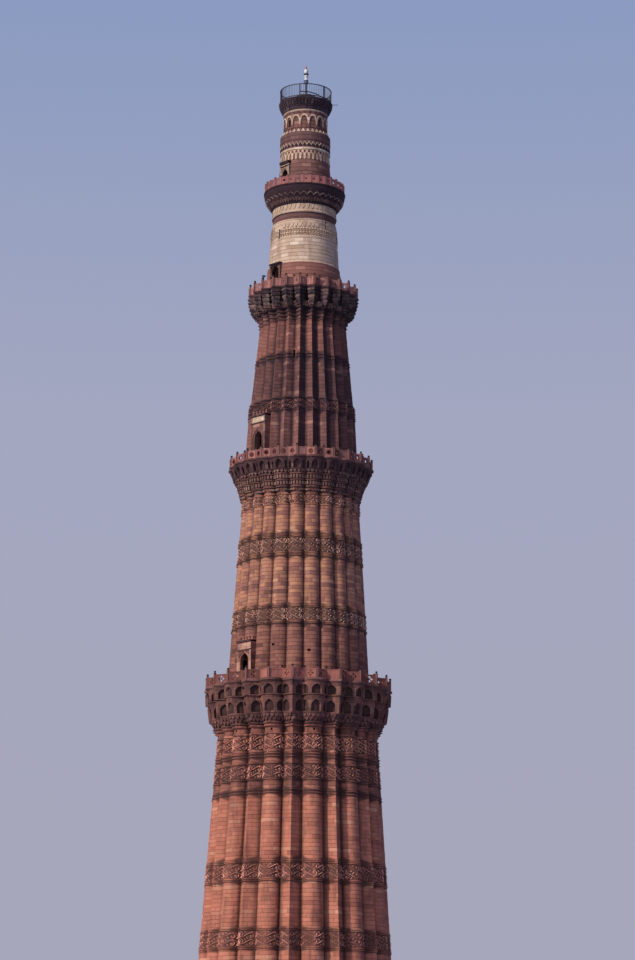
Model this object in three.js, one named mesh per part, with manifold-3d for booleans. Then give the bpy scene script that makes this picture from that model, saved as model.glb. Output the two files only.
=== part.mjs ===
// Five-storey fluted minaret of sandstone and marble, as a scale model at 1:2.
// Millimetres, +Z up. The origin is the middle of the plinth's underside, and the doors face -Y.
// Each storey is a hollow shaft of stone segments on a floor slab. A ring of corbels at its top
// carries the next slab, whose rim is a balcony with a stone balustrade.

import * as THREE from 'three';
import { mergeVertices } from 'three/addons/utils/BufferGeometryUtils.js';
import Module from 'manifold-3d';

const wasm = await Module();
wasm.setup();

// Scale. Heights and radii below are the real tower's, in metres, times this.
const metre = 500;

// Plan: 24 flutes, and the play between two pieces that meet on a slanting or cut face.
const fluteCount = 24;
const halfFlute = Math.PI / fluteCount;
const jointGap = 0.3;
const quarterTurn = Math.PI / 2;
const degree = Math.PI / 180;
const boreSides = 24;
const weldDistance = 0.01;

// Cutting shapes reach this far out from the axis, and this far up.
const beyond = 10 * metre;
const wholeWidth = [-beyond, beyond];
const overTop = 80 * metre;

// Levels that several pieces share, above the ground.
const plinthTop = 0.61 * metre;
const deckTops = [29.54, 45.00, 57.43, 65.15, 71.96].map((height) => height * metre);
const deckThickness = [0.20, 0.18, 0.18, 0.16, 0.14].map((height) => height * metre);

// One turn of an outline, as an angle from the door side and a share of the full radius.
// A flute is a round rib or a sharp one, standing on the chord between its two valleys,
// and bulge is its projection over half that chord.
function flutedPlan(ribs, bulge, arcSteps) {
  const valley = 1 / (Math.cos(halfFlute) + bulge * Math.sin(halfFlute));
  const halfChord = valley * Math.sin(halfFlute);
  const chordSeat = valley * Math.cos(halfFlute);
  const sweep = 2 * Math.atan(bulge);
  const arcRadius = halfChord / Math.sin(sweep);
  const plan = [];
  for (let flute = 0; flute < fluteCount; flute += 1) {
    const outline = [];
    if (ribs[flute % ribs.length] === 'round') {
      for (let step = 0; step < arcSteps; step += 1) {
        const turn = sweep * (2 * step / arcSteps - 1);
        outline.push([arcRadius * Math.sin(turn), arcRadius * (Math.cos(turn) - Math.cos(sweep))]);
      }
    } else {
      outline.push([-halfChord, 0], [0, bulge * halfChord]);
    }
    for (const [across, out] of outline) {
      plan.push({
        angle: 2 * halfFlute * flute + Math.atan2(across, chordSeat + out),
        share: Math.hypot(across, chordSeat + out),
      });
    }
  }
  return plan;
}

function plainPlan(sides) {
  return Array.from({ length: sides }, (_, side) => ({ angle: 2 * Math.PI * side / sides, share: 1 }));
}

const alternatePlan = flutedPlan(['round', 'sharp'], 1, 4);
const lobedPlan = flutedPlan(['round'], 0.66, 3);
const starPlan = flutedPlan(['sharp'], 1, 1);
const roundPlan = plainPlan(48);
const plinthPlan = plainPlan(24);

// Solids

function solidOf(geometry) {
  geometry.deleteAttribute('normal');
  geometry.deleteAttribute('uv');
  const merged = mergeVertices(geometry, weldDistance);
  const corners = merged.index.array;
  const triVerts = [];
  for (let first = 0; first < corners.length; first += 3) {
    const [a, b, c] = corners.slice(first, first + 3);
    if (a !== b && b !== c && c !== a) {
      triVerts.push(a, b, c);
    }
  }
  const vertProperties = merged.attributes.position.array;
  const mesh = new wasm.Mesh({ numProp: 3, vertProperties, triVerts: new Uint32Array(triVerts) });
  return new wasm.Manifold(mesh);
}

function joined(solids) {
  return solids.reduce((whole, solid) => whole.add(solid));
}

// A profile of [radius, height, fluting] turned about the axis, then pushed in to the plan's
// outline. Fluting is 1 where the flutes have their full depth, and 0 where the section is round.
function turned(profile, plan) {
  const turnedGeometry = new THREE.LatheGeometry(
    profile.map(([radius, height]) => new THREE.Vector2(radius, height)), plan.length);
  const position = turnedGeometry.attributes.position;
  for (let vertex = 0; vertex < position.count; vertex += 1) {
    const { angle, share } = plan[Math.floor(vertex / profile.length) % plan.length];
    const [radius, height, fluting] = profile[vertex % profile.length];
    const reach = radius * (1 - fluting * (1 - share));
    position.setXYZ(vertex, reach * Math.sin(angle), -reach * Math.cos(angle), height);
  }
  return solidOf(turnedGeometry);
}

// The same for an outer profile that is closed to the axis at its foot and its head.
function turnedSolid(outer, plan) {
  const foot = outer[0][1];
  const head = outer[outer.length - 1][1];
  return turned([[0, foot, 0], ...outer, [0, head, 0]], plan);
}

// A ring of rectangular section between two radii and two heights.
function turnedRing([inner, outer], [foot, head], fluting, plan) {
  const section = [[inner, foot], [outer, foot], [outer, head], [inner, head], [inner, foot]];
  return turned(section.map(([radius, height]) => [radius, height, fluting]), plan);
}

function cylinder(radius, foot, head, sides) {
  const geometry = new THREE.CylinderGeometry(radius, radius, head - foot, sides);
  geometry.rotateY(Math.PI);
  geometry.rotateX(quarterTurn);
  geometry.translate(0, 0, (foot + head) / 2);
  return solidOf(geometry);
}

function box(xRange, yRange, zRange) {
  const ranges = [xRange, yRange, zRange];
  const geometry = new THREE.BoxGeometry(...ranges.map(([low, high]) => high - low));
  geometry.translate(...ranges.map(([low, high]) => (low + high) / 2));
  return solidOf(geometry);
}

// An outline in x and z, made solid between two distances out from the axis towards -Y, and
// turned about the axis to face the given angle.
function outward(outline, near, far, angle = 0) {
  const shape = new THREE.Shape(outline.map(([x, z]) => new THREE.Vector2(x, z)));
  const geometry = new THREE.ExtrudeGeometry(shape, { depth: far - near, bevelEnabled: false });
  geometry.rotateX(quarterTurn);
  geometry.translate(0, -near, 0);
  geometry.rotateZ(angle);
  return solidOf(geometry);
}

function rectangle(halfWidth, foot, head) {
  return [[-halfWidth, foot], [halfWidth, foot], [halfWidth, head], [-halfWidth, head]];
}

// A doorway's outline: upright jambs to the springing, then two arcs that meet at a point.
function pointedArch(halfWidth, foot, springing, rise, steps) {
  const radius = (halfWidth ** 2 + rise ** 2) / (2 * halfWidth);
  const sweep = Math.atan2(rise, radius - halfWidth);
  const right = [];
  for (let step = 0; step < steps; step += 1) {
    const turn = sweep * step / steps;
    right.push([halfWidth - radius + radius * Math.cos(turn), springing + radius * Math.sin(turn)]);
  }
  const left = right.map(([x, z]) => [-x, z]).reverse();
  return [[-halfWidth, foot], [halfWidth, foot], ...right, [0, springing + rise], ...left];
}

const model = new THREE.Group();

function add(name, solid, finish) {
  const { vertProperties, triVerts } = solid.getMesh();
  const geometry = new THREE.BufferGeometry();
  geometry.setAttribute('position', new THREE.BufferAttribute(vertProperties, 3));
  geometry.setIndex(new THREE.BufferAttribute(triVerts, 1));
  geometry.computeVertexNormals();
  const mesh = new THREE.Mesh(geometry, finish());
  mesh.name = name;
  model.add(mesh);
}

// Finishes
const redSandstone = () => new THREE.MeshStandardMaterial({ color: 0x9a5f50, roughness: 0.9 });
const buffSandstone = () => new THREE.MeshStandardMaterial({ color: 0xb57a5c, roughness: 0.9 });
const maroonSandstone = () => new THREE.MeshStandardMaterial({ color: 0x6f4a44, roughness: 0.9 });
const marble = () => new THREE.MeshStandardMaterial({ color: 0xc4aa96, roughness: 0.7 });
const brownSandstone = () => new THREE.MeshStandardMaterial({ color: 0x7b564e, roughness: 0.9 });
const stainedSandstone = () => new THREE.MeshStandardMaterial({ color: 0x463739, roughness: 0.95 });
const pinkSandstone = () => new THREE.MeshStandardMaterial({ color: 0xb4706a, roughness: 0.9 });
const paintedIron = () => new THREE.MeshStandardMaterial({ color: 0x2a2a36, roughness: 0.5, metalness: 0.6 });
const paintedWhite = () => new THREE.MeshStandardMaterial({ color: 0xd8d6d2, roughness: 0.4 });

// Plinth, whose top is the ground floor.
const plinthRadius = 7.60 * metre;
add('plinth', turnedSolid([[plinthRadius, 0, 0], [plinthRadius, plinthTop, 0]], plinthPlan), redSandstone);

// Shafts. A profile runs from the floor slab to the foot of the corbels, and the bore is the
// radius of the hollow inside. A door has the half width of its opening, the height of its
// springing over the floor, and the rise of its point. Sills name the sides whose wall, over the
// sill of a narrow window, is two blocks that meet in a joint over the window.
const storeys = [
  {
    plan: alternatePlan, finish: redSandstone, bore: 3.30 * metre,
    profile: [[7.16, 0.61, 1], [5.91, 19.5, 1], [5.54, 24.70, 1]],
    door: { halfWidth: 0.55, springing: 1.95, rise: 0.62 },
    surround: { halfWidth: 1.15, head: 3.90, front: 7.45, back: 5.90, slab: 0.22, parapet: 0.42 },
    windows: [],
    sills: {},
  },
  {
    plan: lobedPlan, finish: buffSandstone, bore: 2.55 * metre,
    profile: [[4.86, 29.54, 1], [4.47, 36.0, 1], [4.09, 41.70, 1]],
    door: { halfWidth: 0.40, springing: 1.61, rise: 0.44 },
    surround: { halfWidth: 0.70, head: 3.20, front: 5.00, back: 4.20, slab: 0.12, parapet: 0.30 },
    windows: [
      { angle: 26.7, halfWidth: 0.11, foot: 31.93, head: 32.09 },
      { angle: 57.0, halfWidth: 0.11, foot: 31.53, head: 31.69 },
    ],
    sills: {},
  },
  {
    plan: starPlan, finish: maroonSandstone, bore: 1.95 * metre,
    profile: [[3.93, 45.00, 1], [3.68, 49.45, 1], [3.58, 49.60, 1], [3.04, 55.10, 1]],
    door: { halfWidth: 0.38, springing: 1.70, rise: 0.45 },
    surround: { halfWidth: 0.75, head: 3.62, front: 4.10, back: 3.20, slab: 0.12, parapet: 0.32 },
    windows: [{ angle: 37.5, halfWidth: 0.08, foot: 52.36, head: 52.90 }],
    sills: {},
  },
  {
    plan: roundPlan, finish: marble, bore: 1.50 * metre,
    profile: [
      [2.70, 57.43, 0], [2.57, 59.38, 0], [2.50, 59.46, 0], [2.38, 61.30, 0], [2.34, 61.36, 0],
      [2.28, 62.67, 0], [2.26, 63.16, 0], [2.30, 63.25, 0], [2.24, 63.35, 0], [2.22, 63.80, 0],
    ],
    door: { halfWidth: 0.36, springing: 1.50, rise: 0.37 },
    surround: { halfWidth: 0.54, head: 2.06, front: 2.78, back: 2.35, slab: 0.12, parapet: 0 },
    windows: [0, 90, 180, 270].map((angle) => (
      { angle, halfWidth: 0.08, foot: angle === 0 ? 61.35 : 62.00, head: angle === 0 ? 62.06 : 62.62 })),
    sills: { front: 61.35, back: 62.00 },
  },
  {
    plan: roundPlan, finish: brownSandstone, bore: 1.10 * metre,
    profile: [
      [1.95, 65.15, 0], [1.78, 67.05, 0], [1.69, 68.00, 0], [1.80, 68.14, 0], [1.80, 69.45, 0],
      [1.64, 69.60, 0], [1.55, 69.70, 0], [1.53, 70.80, 0], [1.58, 70.90, 0], [1.56, 71.08, 0],
    ],
    door: { halfWidth: 0.30, springing: 1.12, rise: 0.38 },
    surround: { halfWidth: 0.46, head: 2.05, front: 2.02, back: 1.62, slab: 0.12, parapet: 0 },
    windows: [0, 90, 180, 270].map((angle) => ({ angle, halfWidth: 0.10, foot: 69.88, head: 70.42 })),
    sills: {},
  },
];

// Blind arcade round the top storey: 16 shallow arched panels, four of them with a window.
const arcade = {
  bays: 16, halfWidth: 0.22, foot: 69.80, springing: 70.38, rise: 0.22, depth: 0.05, face: 1.53,
};

function inMillimetres(sizes) {
  return Object.fromEntries(Object.entries(sizes).map(([name, size]) => [name, size * metre]));
}

function arcadePanels() {
  const { halfWidth, foot, springing, rise, depth, face } = inMillimetres(arcade);
  const outline = pointedArch(halfWidth, foot, springing, rise, 2);
  const panels = [];
  for (let bay = 0; bay < arcade.bays; bay += 1) {
    panels.push(outward(outline, face - depth, beyond, 2 * Math.PI * bay / arcade.bays));
  }
  return joined(panels);
}

// One quarter of the tower in plan, centred on an angle and drawn back from its two joints.
function quarter(angle) {
  const back = jointGap / Math.SQRT2;
  const shape = new THREE.Shape([
    new THREE.Vector2(0, -back),
    new THREE.Vector2(beyond, -beyond - back),
    new THREE.Vector2(-beyond, -beyond - back),
  ]);
  const geometry = new THREE.ExtrudeGeometry(shape, { depth: overTop, bevelEnabled: false });
  geometry.rotateZ(angle);
  return solidOf(geometry);
}

function shaft(storey) {
  const outer = storey.profile.map(([radius, height, fluting]) => [radius * metre, height * metre, fluting]);
  const foot = outer[0][1];
  const head = outer[outer.length - 1][1];
  const hollow = cylinder(storey.bore, foot - metre, head + metre, boreSides);
  let wall = turnedSolid(outer, storey.plan).subtract(hollow);
  for (const sizes of storey.windows) {
    const { halfWidth, foot: sill, head: lintel } = inMillimetres(sizes);
    const outline = rectangle(halfWidth, sill, lintel);
    wall = wall.subtract(outward(outline, metre / 2, beyond, sizes.angle * degree));
  }
  return { wall, foot, head };
}

// The stone frame of a door, let into the wall: jambs and a pointed head, a slab over them, and
// on the lower storeys a small parapet with four gaps.
function doorSurround(storey, foot) {
  const { halfWidth, springing, rise } = inMillimetres(storey.door);
  const frame = inMillimetres(storey.surround);
  const slabFoot = foot + frame.head - frame.parapet - frame.slab;
  const slabHead = slabFoot + frame.slab;
  const overhang = frame.slab / 2;
  const opening = pointedArch(halfWidth, foot - metre, foot + springing, rise, 4);
  let solid = outward(rectangle(frame.halfWidth, foot, slabHead), frame.back, frame.front - overhang);
  solid = solid.add(outward(rectangle(frame.halfWidth, slabFoot, slabHead), frame.back, frame.front));
  solid = solid.subtract(outward(opening, 0, beyond));
  if (frame.parapet > 0) {
    const merlons = 5;
    const pitch = 2 * frame.halfWidth / (2 * merlons - 1);
    const outline = [[-frame.halfWidth, slabHead - overhang], [frame.halfWidth, slabHead - overhang]];
    for (let merlon = merlons - 1; merlon >= 0; merlon -= 1) {
      const left = -frame.halfWidth + 2 * merlon * pitch;
      outline.push([left + pitch, slabHead + frame.parapet], [left, slabHead + frame.parapet]);
      if (merlon > 0) {
        outline.push([left, slabHead + frame.parapet / 3], [left - pitch, slabHead + frame.parapet / 3]);
      }
    }
    solid = solid.add(outward(outline, frame.back, frame.front - 2 * overhang));
  }
  return solid;
}

storeys.forEach((storey, index) => {
  const name = `storey_${index + 1}`;
  const { wall, foot, head } = shaft(storey);
  const frame = inMillimetres(storey.surround);
  const { halfWidth, springing, rise } = inMillimetres(storey.door);
  const frameSeat = outward(
    rectangle(frame.halfWidth + jointGap, foot - metre, foot + frame.head + jointGap),
    frame.back - jointGap, beyond);
  const doorway = outward(pointedArch(halfWidth, foot - metre, foot + springing, rise, 4), 0, beyond);
  const carved = index === 4 ? wall.subtract(arcadePanels()) : wall;
  const front = carved.intersect(quarter(0)).subtract(frameSeat);
  const below = [foot - metre, foot + springing];
  const above = [foot + springing, head + metre];
  add(`${name}_left_jamb`, front.intersect(box([-beyond, -halfWidth], [-beyond, 0], below)), storey.finish);
  add(`${name}_right_jamb`, front.intersect(box([halfWidth, beyond], [-beyond, 0], below)), storey.finish);
  const sides = {
    front: front.intersect(box(wholeWidth, [-beyond, 0], above)).subtract(doorway),
    right: carved.intersect(quarter(quarterTurn)),
    back: carved.intersect(quarter(2 * quarterTurn)),
    left: carved.intersect(quarter(3 * quarterTurn)),
  };
  for (const [side, solid] of Object.entries(sides)) {
    if (side in storey.sills) {
      const sill = storey.sills[side] * metre;
      const under = [foot - metre, sill];
      const over = [sill, head + metre];
      const halfGap = jointGap / 2;
      add(`${name}_${side}_wall`, solid.intersect(box(wholeWidth, wholeWidth, under)), storey.finish);
      const leftHalf = box([-beyond, -halfGap], wholeWidth, over);
      const rightHalf = box([halfGap, beyond], wholeWidth, over);
      add(`${name}_${side}_upper_left`, solid.intersect(leftHalf), storey.finish);
      add(`${name}_${side}_upper_right`, solid.intersect(rightHalf), storey.finish);
    } else {
      add(`${name}_${side}_wall`, solid, storey.finish);
    }
  }
  add(`${name}_door_surround`, doorSurround(storey, foot), storey.finish);
});

// Corbel rings: [radius, height, fluting] from the head of the shaft to the underside of the deck.
const corbelRings = [
  {
    name: 'balcony_1_corbels', plan: alternatePlan, finish: stainedSandstone,
    profile: [
      [5.54, 24.70, 1], [5.48, 25.60, 1], [5.42, 26.10, 1], [5.70, 26.50, 1], [5.86, 27.25, 0.95],
      [6.04, 27.45, 0.95], [6.08, 28.20, 0.9], [6.30, 28.35, 0.9], [6.32, 29.34, 0.85],
    ],
  },
  {
    name: 'balcony_2_corbels', plan: lobedPlan, finish: stainedSandstone,
    profile: [
      [4.12, 41.70, 1], [4.07, 42.50, 1], [4.22, 42.90, 1], [4.42, 43.45, 0.9],
      [4.68, 44.10, 0.8], [4.92, 44.60, 0.7], [4.97, 44.82, 0.7],
    ],
  },
  {
    name: 'balcony_3_corbels', plan: starPlan, finish: stainedSandstone,
    profile: [
      [3.10, 55.10, 1], [3.14, 55.45, 1], [3.42, 55.90, 1], [3.60, 56.30, 0.95],
      [3.78, 56.75, 0.9], [3.84, 57.25, 0.9],
    ],
  },
  {
    name: 'balcony_4_corbels', plan: roundPlan, finish: stainedSandstone,
    profile: [[2.24, 63.80, 0], [2.40, 63.95, 0], [2.66, 64.30, 0], [2.82, 64.65, 0], [2.86, 64.99, 0]],
  },
  {
    name: 'crown_cornice', plan: roundPlan, finish: stainedSandstone,
    profile: [[1.60, 71.08, 0], [1.70, 71.20, 0], [1.84, 71.55, 0], [1.92, 71.82, 0]],
  },
];

corbelRings.forEach(({ name, plan, finish, profile }, index) => {
  const outer = profile.map(([radius, height, fluting]) => [radius * metre, height * metre, fluting]);
  const foot = outer[0][1];
  const head = outer[outer.length - 1][1];
  const bore = cylinder(storeys[index].bore, foot - metre, head + metre, boreSides);
  add(name, turnedSolid(outer, plan).subtract(bore), finish);
});

// Floor slabs. The rim of each is the balcony's walk, and the last is the roof.
const decks = [
  { name: 'balcony_1_deck', plan: alternatePlan, radius: 6.42, fluting: 0.85 },
  { name: 'balcony_2_deck', plan: lobedPlan, radius: 5.06, fluting: 0.70 },
  { name: 'balcony_3_deck', plan: starPlan, radius: 3.93, fluting: 0.90 },
  { name: 'balcony_4_deck', plan: roundPlan, radius: 2.90, fluting: 0 },
  { name: 'crown_deck', plan: roundPlan, radius: 1.92, fluting: 0 },
];

decks.forEach(({ name, plan, radius, fluting }, index) => {
  const head = deckTops[index];
  const edge = [radius * metre, head - deckThickness[index], fluting];
  add(name, turnedSolid([edge, [radius * metre, head, fluting]], plan), stainedSandstone);
});

// Balustrades: stone panels between square posts with pointed caps, two panels to a flute.
const balustrades = [
  { name: 'balcony_1_balustrade', panels: 48, radius: 6.32, valley: 0.908, height: 0.62, post: 0.88 },
  { name: 'balcony_2_balustrade', panels: 48, radius: 4.96, valley: 0.952, height: 0.54, post: 0.76 },
  { name: 'balcony_3_balustrade', panels: 48, radius: 3.84, valley: 0.905, height: 0.54, post: 0.78 },
  { name: 'balcony_4_balustrade', panels: 32, radius: 2.82, valley: 1, height: 0.54, post: 0.66 },
];
const panelThickness = 0.10 * metre;
const postHalfWidth = 0.07 * metre;
const postCap = 0.16 * metre;

balustrades.forEach(({ name, panels, radius, valley, height, post }, index) => {
  const foot = deckTops[index];
  const plan = plainPlan(panels).map(({ angle }, place) => ({ angle, share: place % 2 ? valley : 1 }));
  const outer = radius * metre;
  const panelHead = foot + height * metre;
  const solids = [turnedRing([outer - panelThickness, outer], [foot, panelHead], 1, plan)];
  const shoulder = foot + post * metre - postCap;
  for (const { angle, share } of plan) {
    const pillar = new THREE.LatheGeometry([
      new THREE.Vector2(0, foot),
      new THREE.Vector2(postHalfWidth * Math.SQRT2, foot),
      new THREE.Vector2(postHalfWidth * Math.SQRT2, shoulder),
      new THREE.Vector2(0, shoulder + postCap),
    ], 4, Math.PI / 4);
    pillar.rotateX(quarterTurn);
    pillar.translate(0, -(outer * share - panelThickness / 2), 0);
    pillar.rotateZ(angle);
    solids.push(solidOf(pillar));
  }
  add(name, joined(solids), pinkSandstone);
});

// On the roof: the stump of a lost cupola, an iron railing, and a mast with a lamp on the stump.
const roof = deckTops[4];
const stumpHead = roof + 0.62 * metre;
const stumpRadius = 0.83 * metre;
add('crown_stump', turnedSolid([
  [stumpRadius, roof, 0], [stumpRadius, roof + 0.40 * metre, 0], [0.70 * metre, stumpHead, 0],
], plinthPlan), stainedSandstone);

const mast = { radius: 0.09, boxFoot: 73.55, boxRadius: 0.165, head: 73.85 };
const lamp = { radius: 0.18, head: 74.70, tipRadius: 0.06, tip: 75.00 };
const mastSides = plainPlan(12);
const mastSizes = inMillimetres(mast);
const lampSizes = inMillimetres(lamp);
add('crown_mast', turnedSolid([
  [mastSizes.radius, stumpHead, 0], [mastSizes.radius, mastSizes.boxFoot, 0],
  [mastSizes.boxRadius, mastSizes.boxFoot, 0], [mastSizes.boxRadius, mastSizes.head, 0],
], mastSides), paintedIron);
add('crown_lamp', turnedSolid([
  [lampSizes.radius, mastSizes.head, 0], [lampSizes.radius, lampSizes.head, 0],
  [lampSizes.tipRadius, lampSizes.head, 0], [lampSizes.tipRadius, lampSizes.tip, 0],
], mastSides), paintedWhite);

const railing = {
  radius: 1.83, head: 0.95, bar: 0.05, lowRail: 0.10,
  posts: 6, firstPost: 34.5, postHalfWidth: 0.035, postInside: 0.06, postOutside: 0.01,
};
const railingSizes = inMillimetres(railing);

function hoop(head) {
  const { radius, bar } = railingSizes;
  return turnedRing([radius - bar / 2, radius + bar / 2], [head - bar, head], 0, plinthPlan);
}

function crownRailing() {
  const { radius, head, lowRail, postHalfWidth, postInside, postOutside } = railingSizes;
  const solids = [hoop(roof + head), hoop(roof + lowRail)];
  for (let post = 0; post < railing.posts; post += 1) {
    const angle = railing.firstPost * degree + 2 * Math.PI * post / railing.posts;
    const outline = rectangle(postHalfWidth, roof, roof + head);
    solids.push(outward(outline, radius - postInside, radius + postOutside, angle));
  }
  return joined(solids);
}
add('crown_railing', crownRailing(), paintedIron);

// A drain rod that lies on the roof and sticks out past its edge.
const rod = { near: 1.20, far: 2.29, halfWidth: 0.02, angle: 138 };
const rodSizes = inMillimetres(rod);
add('crown_rod', outward(
  rectangle(rodSizes.halfWidth, roof, roof + 2 * rodSizes.halfWidth),
  rodSizes.near, rodSizes.far, rod.angle * degree), paintedIron);

// A small floodlight on a stem that stands on the third balcony.
const floodlight = {
  angle: -13.5, reach: 3.16, stemRadius: 0.03, stem: 1.10, headHalfWidth: 0.11, head: 0.14,
};

function balconyFloodlight() {
  const { reach, stemRadius, stem, headHalfWidth, head } = inMillimetres(floodlight);
  const foot = deckTops[2];
  const neck = foot + stem;
  const angle = floodlight.angle * degree;
  const stemOutline = rectangle(stemRadius, foot, neck);
  const headOutline = rectangle(headHalfWidth, neck - stemRadius, neck + head);
  const stemSolid = outward(stemOutline, reach - stemRadius, reach + stemRadius, angle);
  return stemSolid.add(outward(headOutline, reach - headHalfWidth, reach + headHalfWidth, angle));
}
add('balcony_3_floodlight', balconyFloodlight(), paintedIron);

export default model;
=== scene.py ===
# %% [markdown]
# # A fluted stone minaret
# The tower is five storeys of masonry, each a hollow shaft with ribs on its outside. Rings of
# carved corbels carry the balconies between them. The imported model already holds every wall,
# slab and corbel ring as a plain solid, so this script only dresses it: it models the ribs,
# courses, niches and balustrades finely, and gives each stone its finish.

# %% Load the frame
import random
from math import atan, atan2, copysign, cos, degrees, hypot, pi, radians, sin

import bmesh
import bpy
from mathutils import Matrix, Vector


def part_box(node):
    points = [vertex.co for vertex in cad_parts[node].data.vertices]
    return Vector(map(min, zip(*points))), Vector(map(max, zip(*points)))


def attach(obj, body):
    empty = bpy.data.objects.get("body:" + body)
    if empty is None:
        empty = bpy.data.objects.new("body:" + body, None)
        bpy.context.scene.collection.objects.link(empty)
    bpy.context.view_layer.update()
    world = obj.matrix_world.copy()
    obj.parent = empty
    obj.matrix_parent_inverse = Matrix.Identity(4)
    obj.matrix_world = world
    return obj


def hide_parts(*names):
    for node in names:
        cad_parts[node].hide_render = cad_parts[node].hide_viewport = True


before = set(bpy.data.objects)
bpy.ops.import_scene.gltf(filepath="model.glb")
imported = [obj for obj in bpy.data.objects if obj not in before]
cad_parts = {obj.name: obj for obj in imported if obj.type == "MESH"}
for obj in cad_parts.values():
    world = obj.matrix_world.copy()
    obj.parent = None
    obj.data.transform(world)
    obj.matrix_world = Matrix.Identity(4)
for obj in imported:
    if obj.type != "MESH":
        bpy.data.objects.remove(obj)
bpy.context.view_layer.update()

# %% [markdown]
# ## Working in tower metres
# The model is half the tower's size. Sizes below are the real tower's, in metres, and a piece is
# made half as big when it is finished. That way a number here is one that can be checked
# against the building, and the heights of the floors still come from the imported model.

# %% Scale and floors
scale = 0.5
ribs_round = 24
full_turn = 2 * pi
half_rib = pi / ribs_round


def span(node):
    """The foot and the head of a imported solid, in tower metres."""
    low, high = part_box(node)
    return low[2] / scale, high[2] / scale


floors = [span(node)[1] for node in ("plinth", *(f"balcony_{number}_deck" for number in range(1, 5)))]
roof = span("crown_deck")[1]
print("floors at", [round(floor, 2) for floor in floors], "and the roof at", round(roof, 2))

# %% [markdown]
# ## The plan of a storey
# The first storey has round ribs and sharp ones in turn, the second has round ribs only, the
# third has sharp ones, and the upper two are plain. A plan answers one question: at a place
# round the tower, counted in ribs from the door side, where is the wall and which way does it
# face? Every carved row below is modelled flat, and then bent round the tower by that answer.


# %% The plan
close = 0.0001


class Plan:
    """An outline of ribs that stand on the chord between their valleys, or a plain circle."""

    def __init__(self, ribs=(), bulge=1.0, round_steps=8):
        self.ribs, self.bulge, self.round_steps = ribs, bulge, round_steps
        self.valley = 1 / (cos(half_rib) + bulge * sin(half_rib)) if ribs else 1
        self.chord = self.valley * sin(half_rib)
        self.seat = self.valley * cos(half_rib)

    def is_round(self, rib):
        return self.ribs and self.ribs[rib % len(self.ribs)] == "round"

    def at(self, place):
        """(angle, share of the full radius, angle that it faces, stretch at a corner)."""
        if not self.ribs:
            angle = 2 * half_rib * place
            return angle, 1, angle, 1
        rib = int((place + 0.5) // 1)
        across = place - rib
        if self.is_round(rib):
            lean = 2 * atan(self.bulge)
            facing = 2 * across * lean
            arc = self.chord / sin(lean)
            side, out = arc * sin(facing), arc * (cos(facing) - cos(lean))
        else:
            lean = atan(self.bulge)
            facing = copysign(lean, across)
            side, out = 2 * across * self.chord, self.bulge * self.chord * (1 - 2 * abs(across))
        at_valley, at_ridge = abs(across) > 0.5 - close, abs(across) < close and facing and out
        if at_valley:
            facing = copysign(half_rib, across)
        elif at_ridge:
            facing = 0
        middle = 2 * half_rib * rib
        angle = middle + atan2(side, self.seat + out)
        stretch = 1 / cos(min(lean, pi / 4)) if at_valley or at_ridge else 1
        return angle, hypot(side, self.seat + out), middle + facing, stretch

    def places(self, round_steps=None, sharp_steps=4):
        """Places for the upright edges of a wall, closer together on a round rib."""
        spots = []
        for rib in range(ribs_round):
            steps = (round_steps or self.round_steps) if self.is_round(rib) else sharp_steps
            spots += [rib - 0.5 + step / steps for step in range(steps)]
        return spots


def few_places(sides):
    """Places for a small turned piece with few sides."""
    return [ribs_round / sides * side for side in range(sides)]


alternate = Plan(("round", "sharp"), round_steps=10)
lobed = Plan(("round",), 0.66)
star = Plan(("sharp",))
plain = Plan()
print("valleys at", [round(plan.valley, 3) for plan in (alternate, lobed, star)], "of the full radius")

# %% [markdown]
# ## Turning a wall
# A wall is a profile that is spun round the axis, as a potter's wheel would, and then pushed in
# wherever the plan has a valley. The spin gives a clean grid of faces, with one upright edge at
# each place of the plan. Each point also stores how deep it lies, and the finish darkens deep
# points: painted shade in the valleys, with some soot.


# %% Spin and push in
def turned(profile, plan=plain, places=None):
    """A solid from points (radius, height, depth of the ribs, painted shade and dirt), closed on itself or on
    the axis.
    """
    places = places or plan.places()
    shape = bmesh.new()
    ribbing = shape.verts.layers.float.new("ribbing")
    shade_and_soot = shape.verts.layers.float.new("shade_and_soot")
    points = []
    for point in profile:
        radius, height, depth, shade_and_dirt = (*point, 0, 0)[:4]
        points.append(shape.verts.new((0, -radius, height)))
        points[-1][ribbing] = depth
        points[-1][shade_and_soot] = shade_and_dirt
    chain = list(zip(points, points[1:]))
    if profile[0][0] > 0:
        chain.append((points[-1], points[0]))
    edges = [shape.edges.new(pair) for pair in chain]
    bmesh.ops.spin(shape, geom=points + edges, axis=(0, 0, 1), cent=(0, 0, 0), angle=full_turn,
                   steps=len(places), use_merge=True, use_duplicate=False)
    bmesh.ops.remove_doubles(shape, verts=shape.verts, dist=1e-5)
    for point in shape.verts:
        radius = hypot(point.co.x, point.co.y)
        step = round(atan2(point.co.x, -point.co.y) / full_turn * len(places)) % len(places)
        angle, share, _, _ = plan.at(places[step])
        reach = radius * (1 - point[ribbing] * (1 - share))
        point.co = (reach * sin(angle), -reach * cos(angle), point.co.z)
        if plan.ribs:
            # deeper points darken in the finish: painted shade in the valleys, with soot
            point[shade_and_soot] += point[ribbing] * (1 - share) / (1 - plan.valley)
    return shape


def between(levels, height):
    """The radius and the depth of the ribs at a height, from a list of (radius, height, depth)."""
    for pair in zip(levels, levels[1:]):
        if height <= pair[1][1]:
            break
    (low_radius, low, low_depth), (high_radius, high, high_depth) = ((*level, 0)[:3] for level in pair)
    part = min(max((height - low) / (high - low), 0), 1) if high > low else 0
    return low_radius + part * (high_radius - low_radius), low_depth + part * (high_depth - low_depth)


print("a plain wall has", len(plain.places()), "upright edges")

# %% [markdown]
# ## Flat tiles, bent round the tower
# A niche, a dentil or a carved flower is easiest to draw flat: x runs along the wall, z up, and
# the front faces -y. One tile is made, copied along the row, and bent. The row has to have
# upright edges where a round rib curves, so a tile can be sliced before it is bent.

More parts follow.
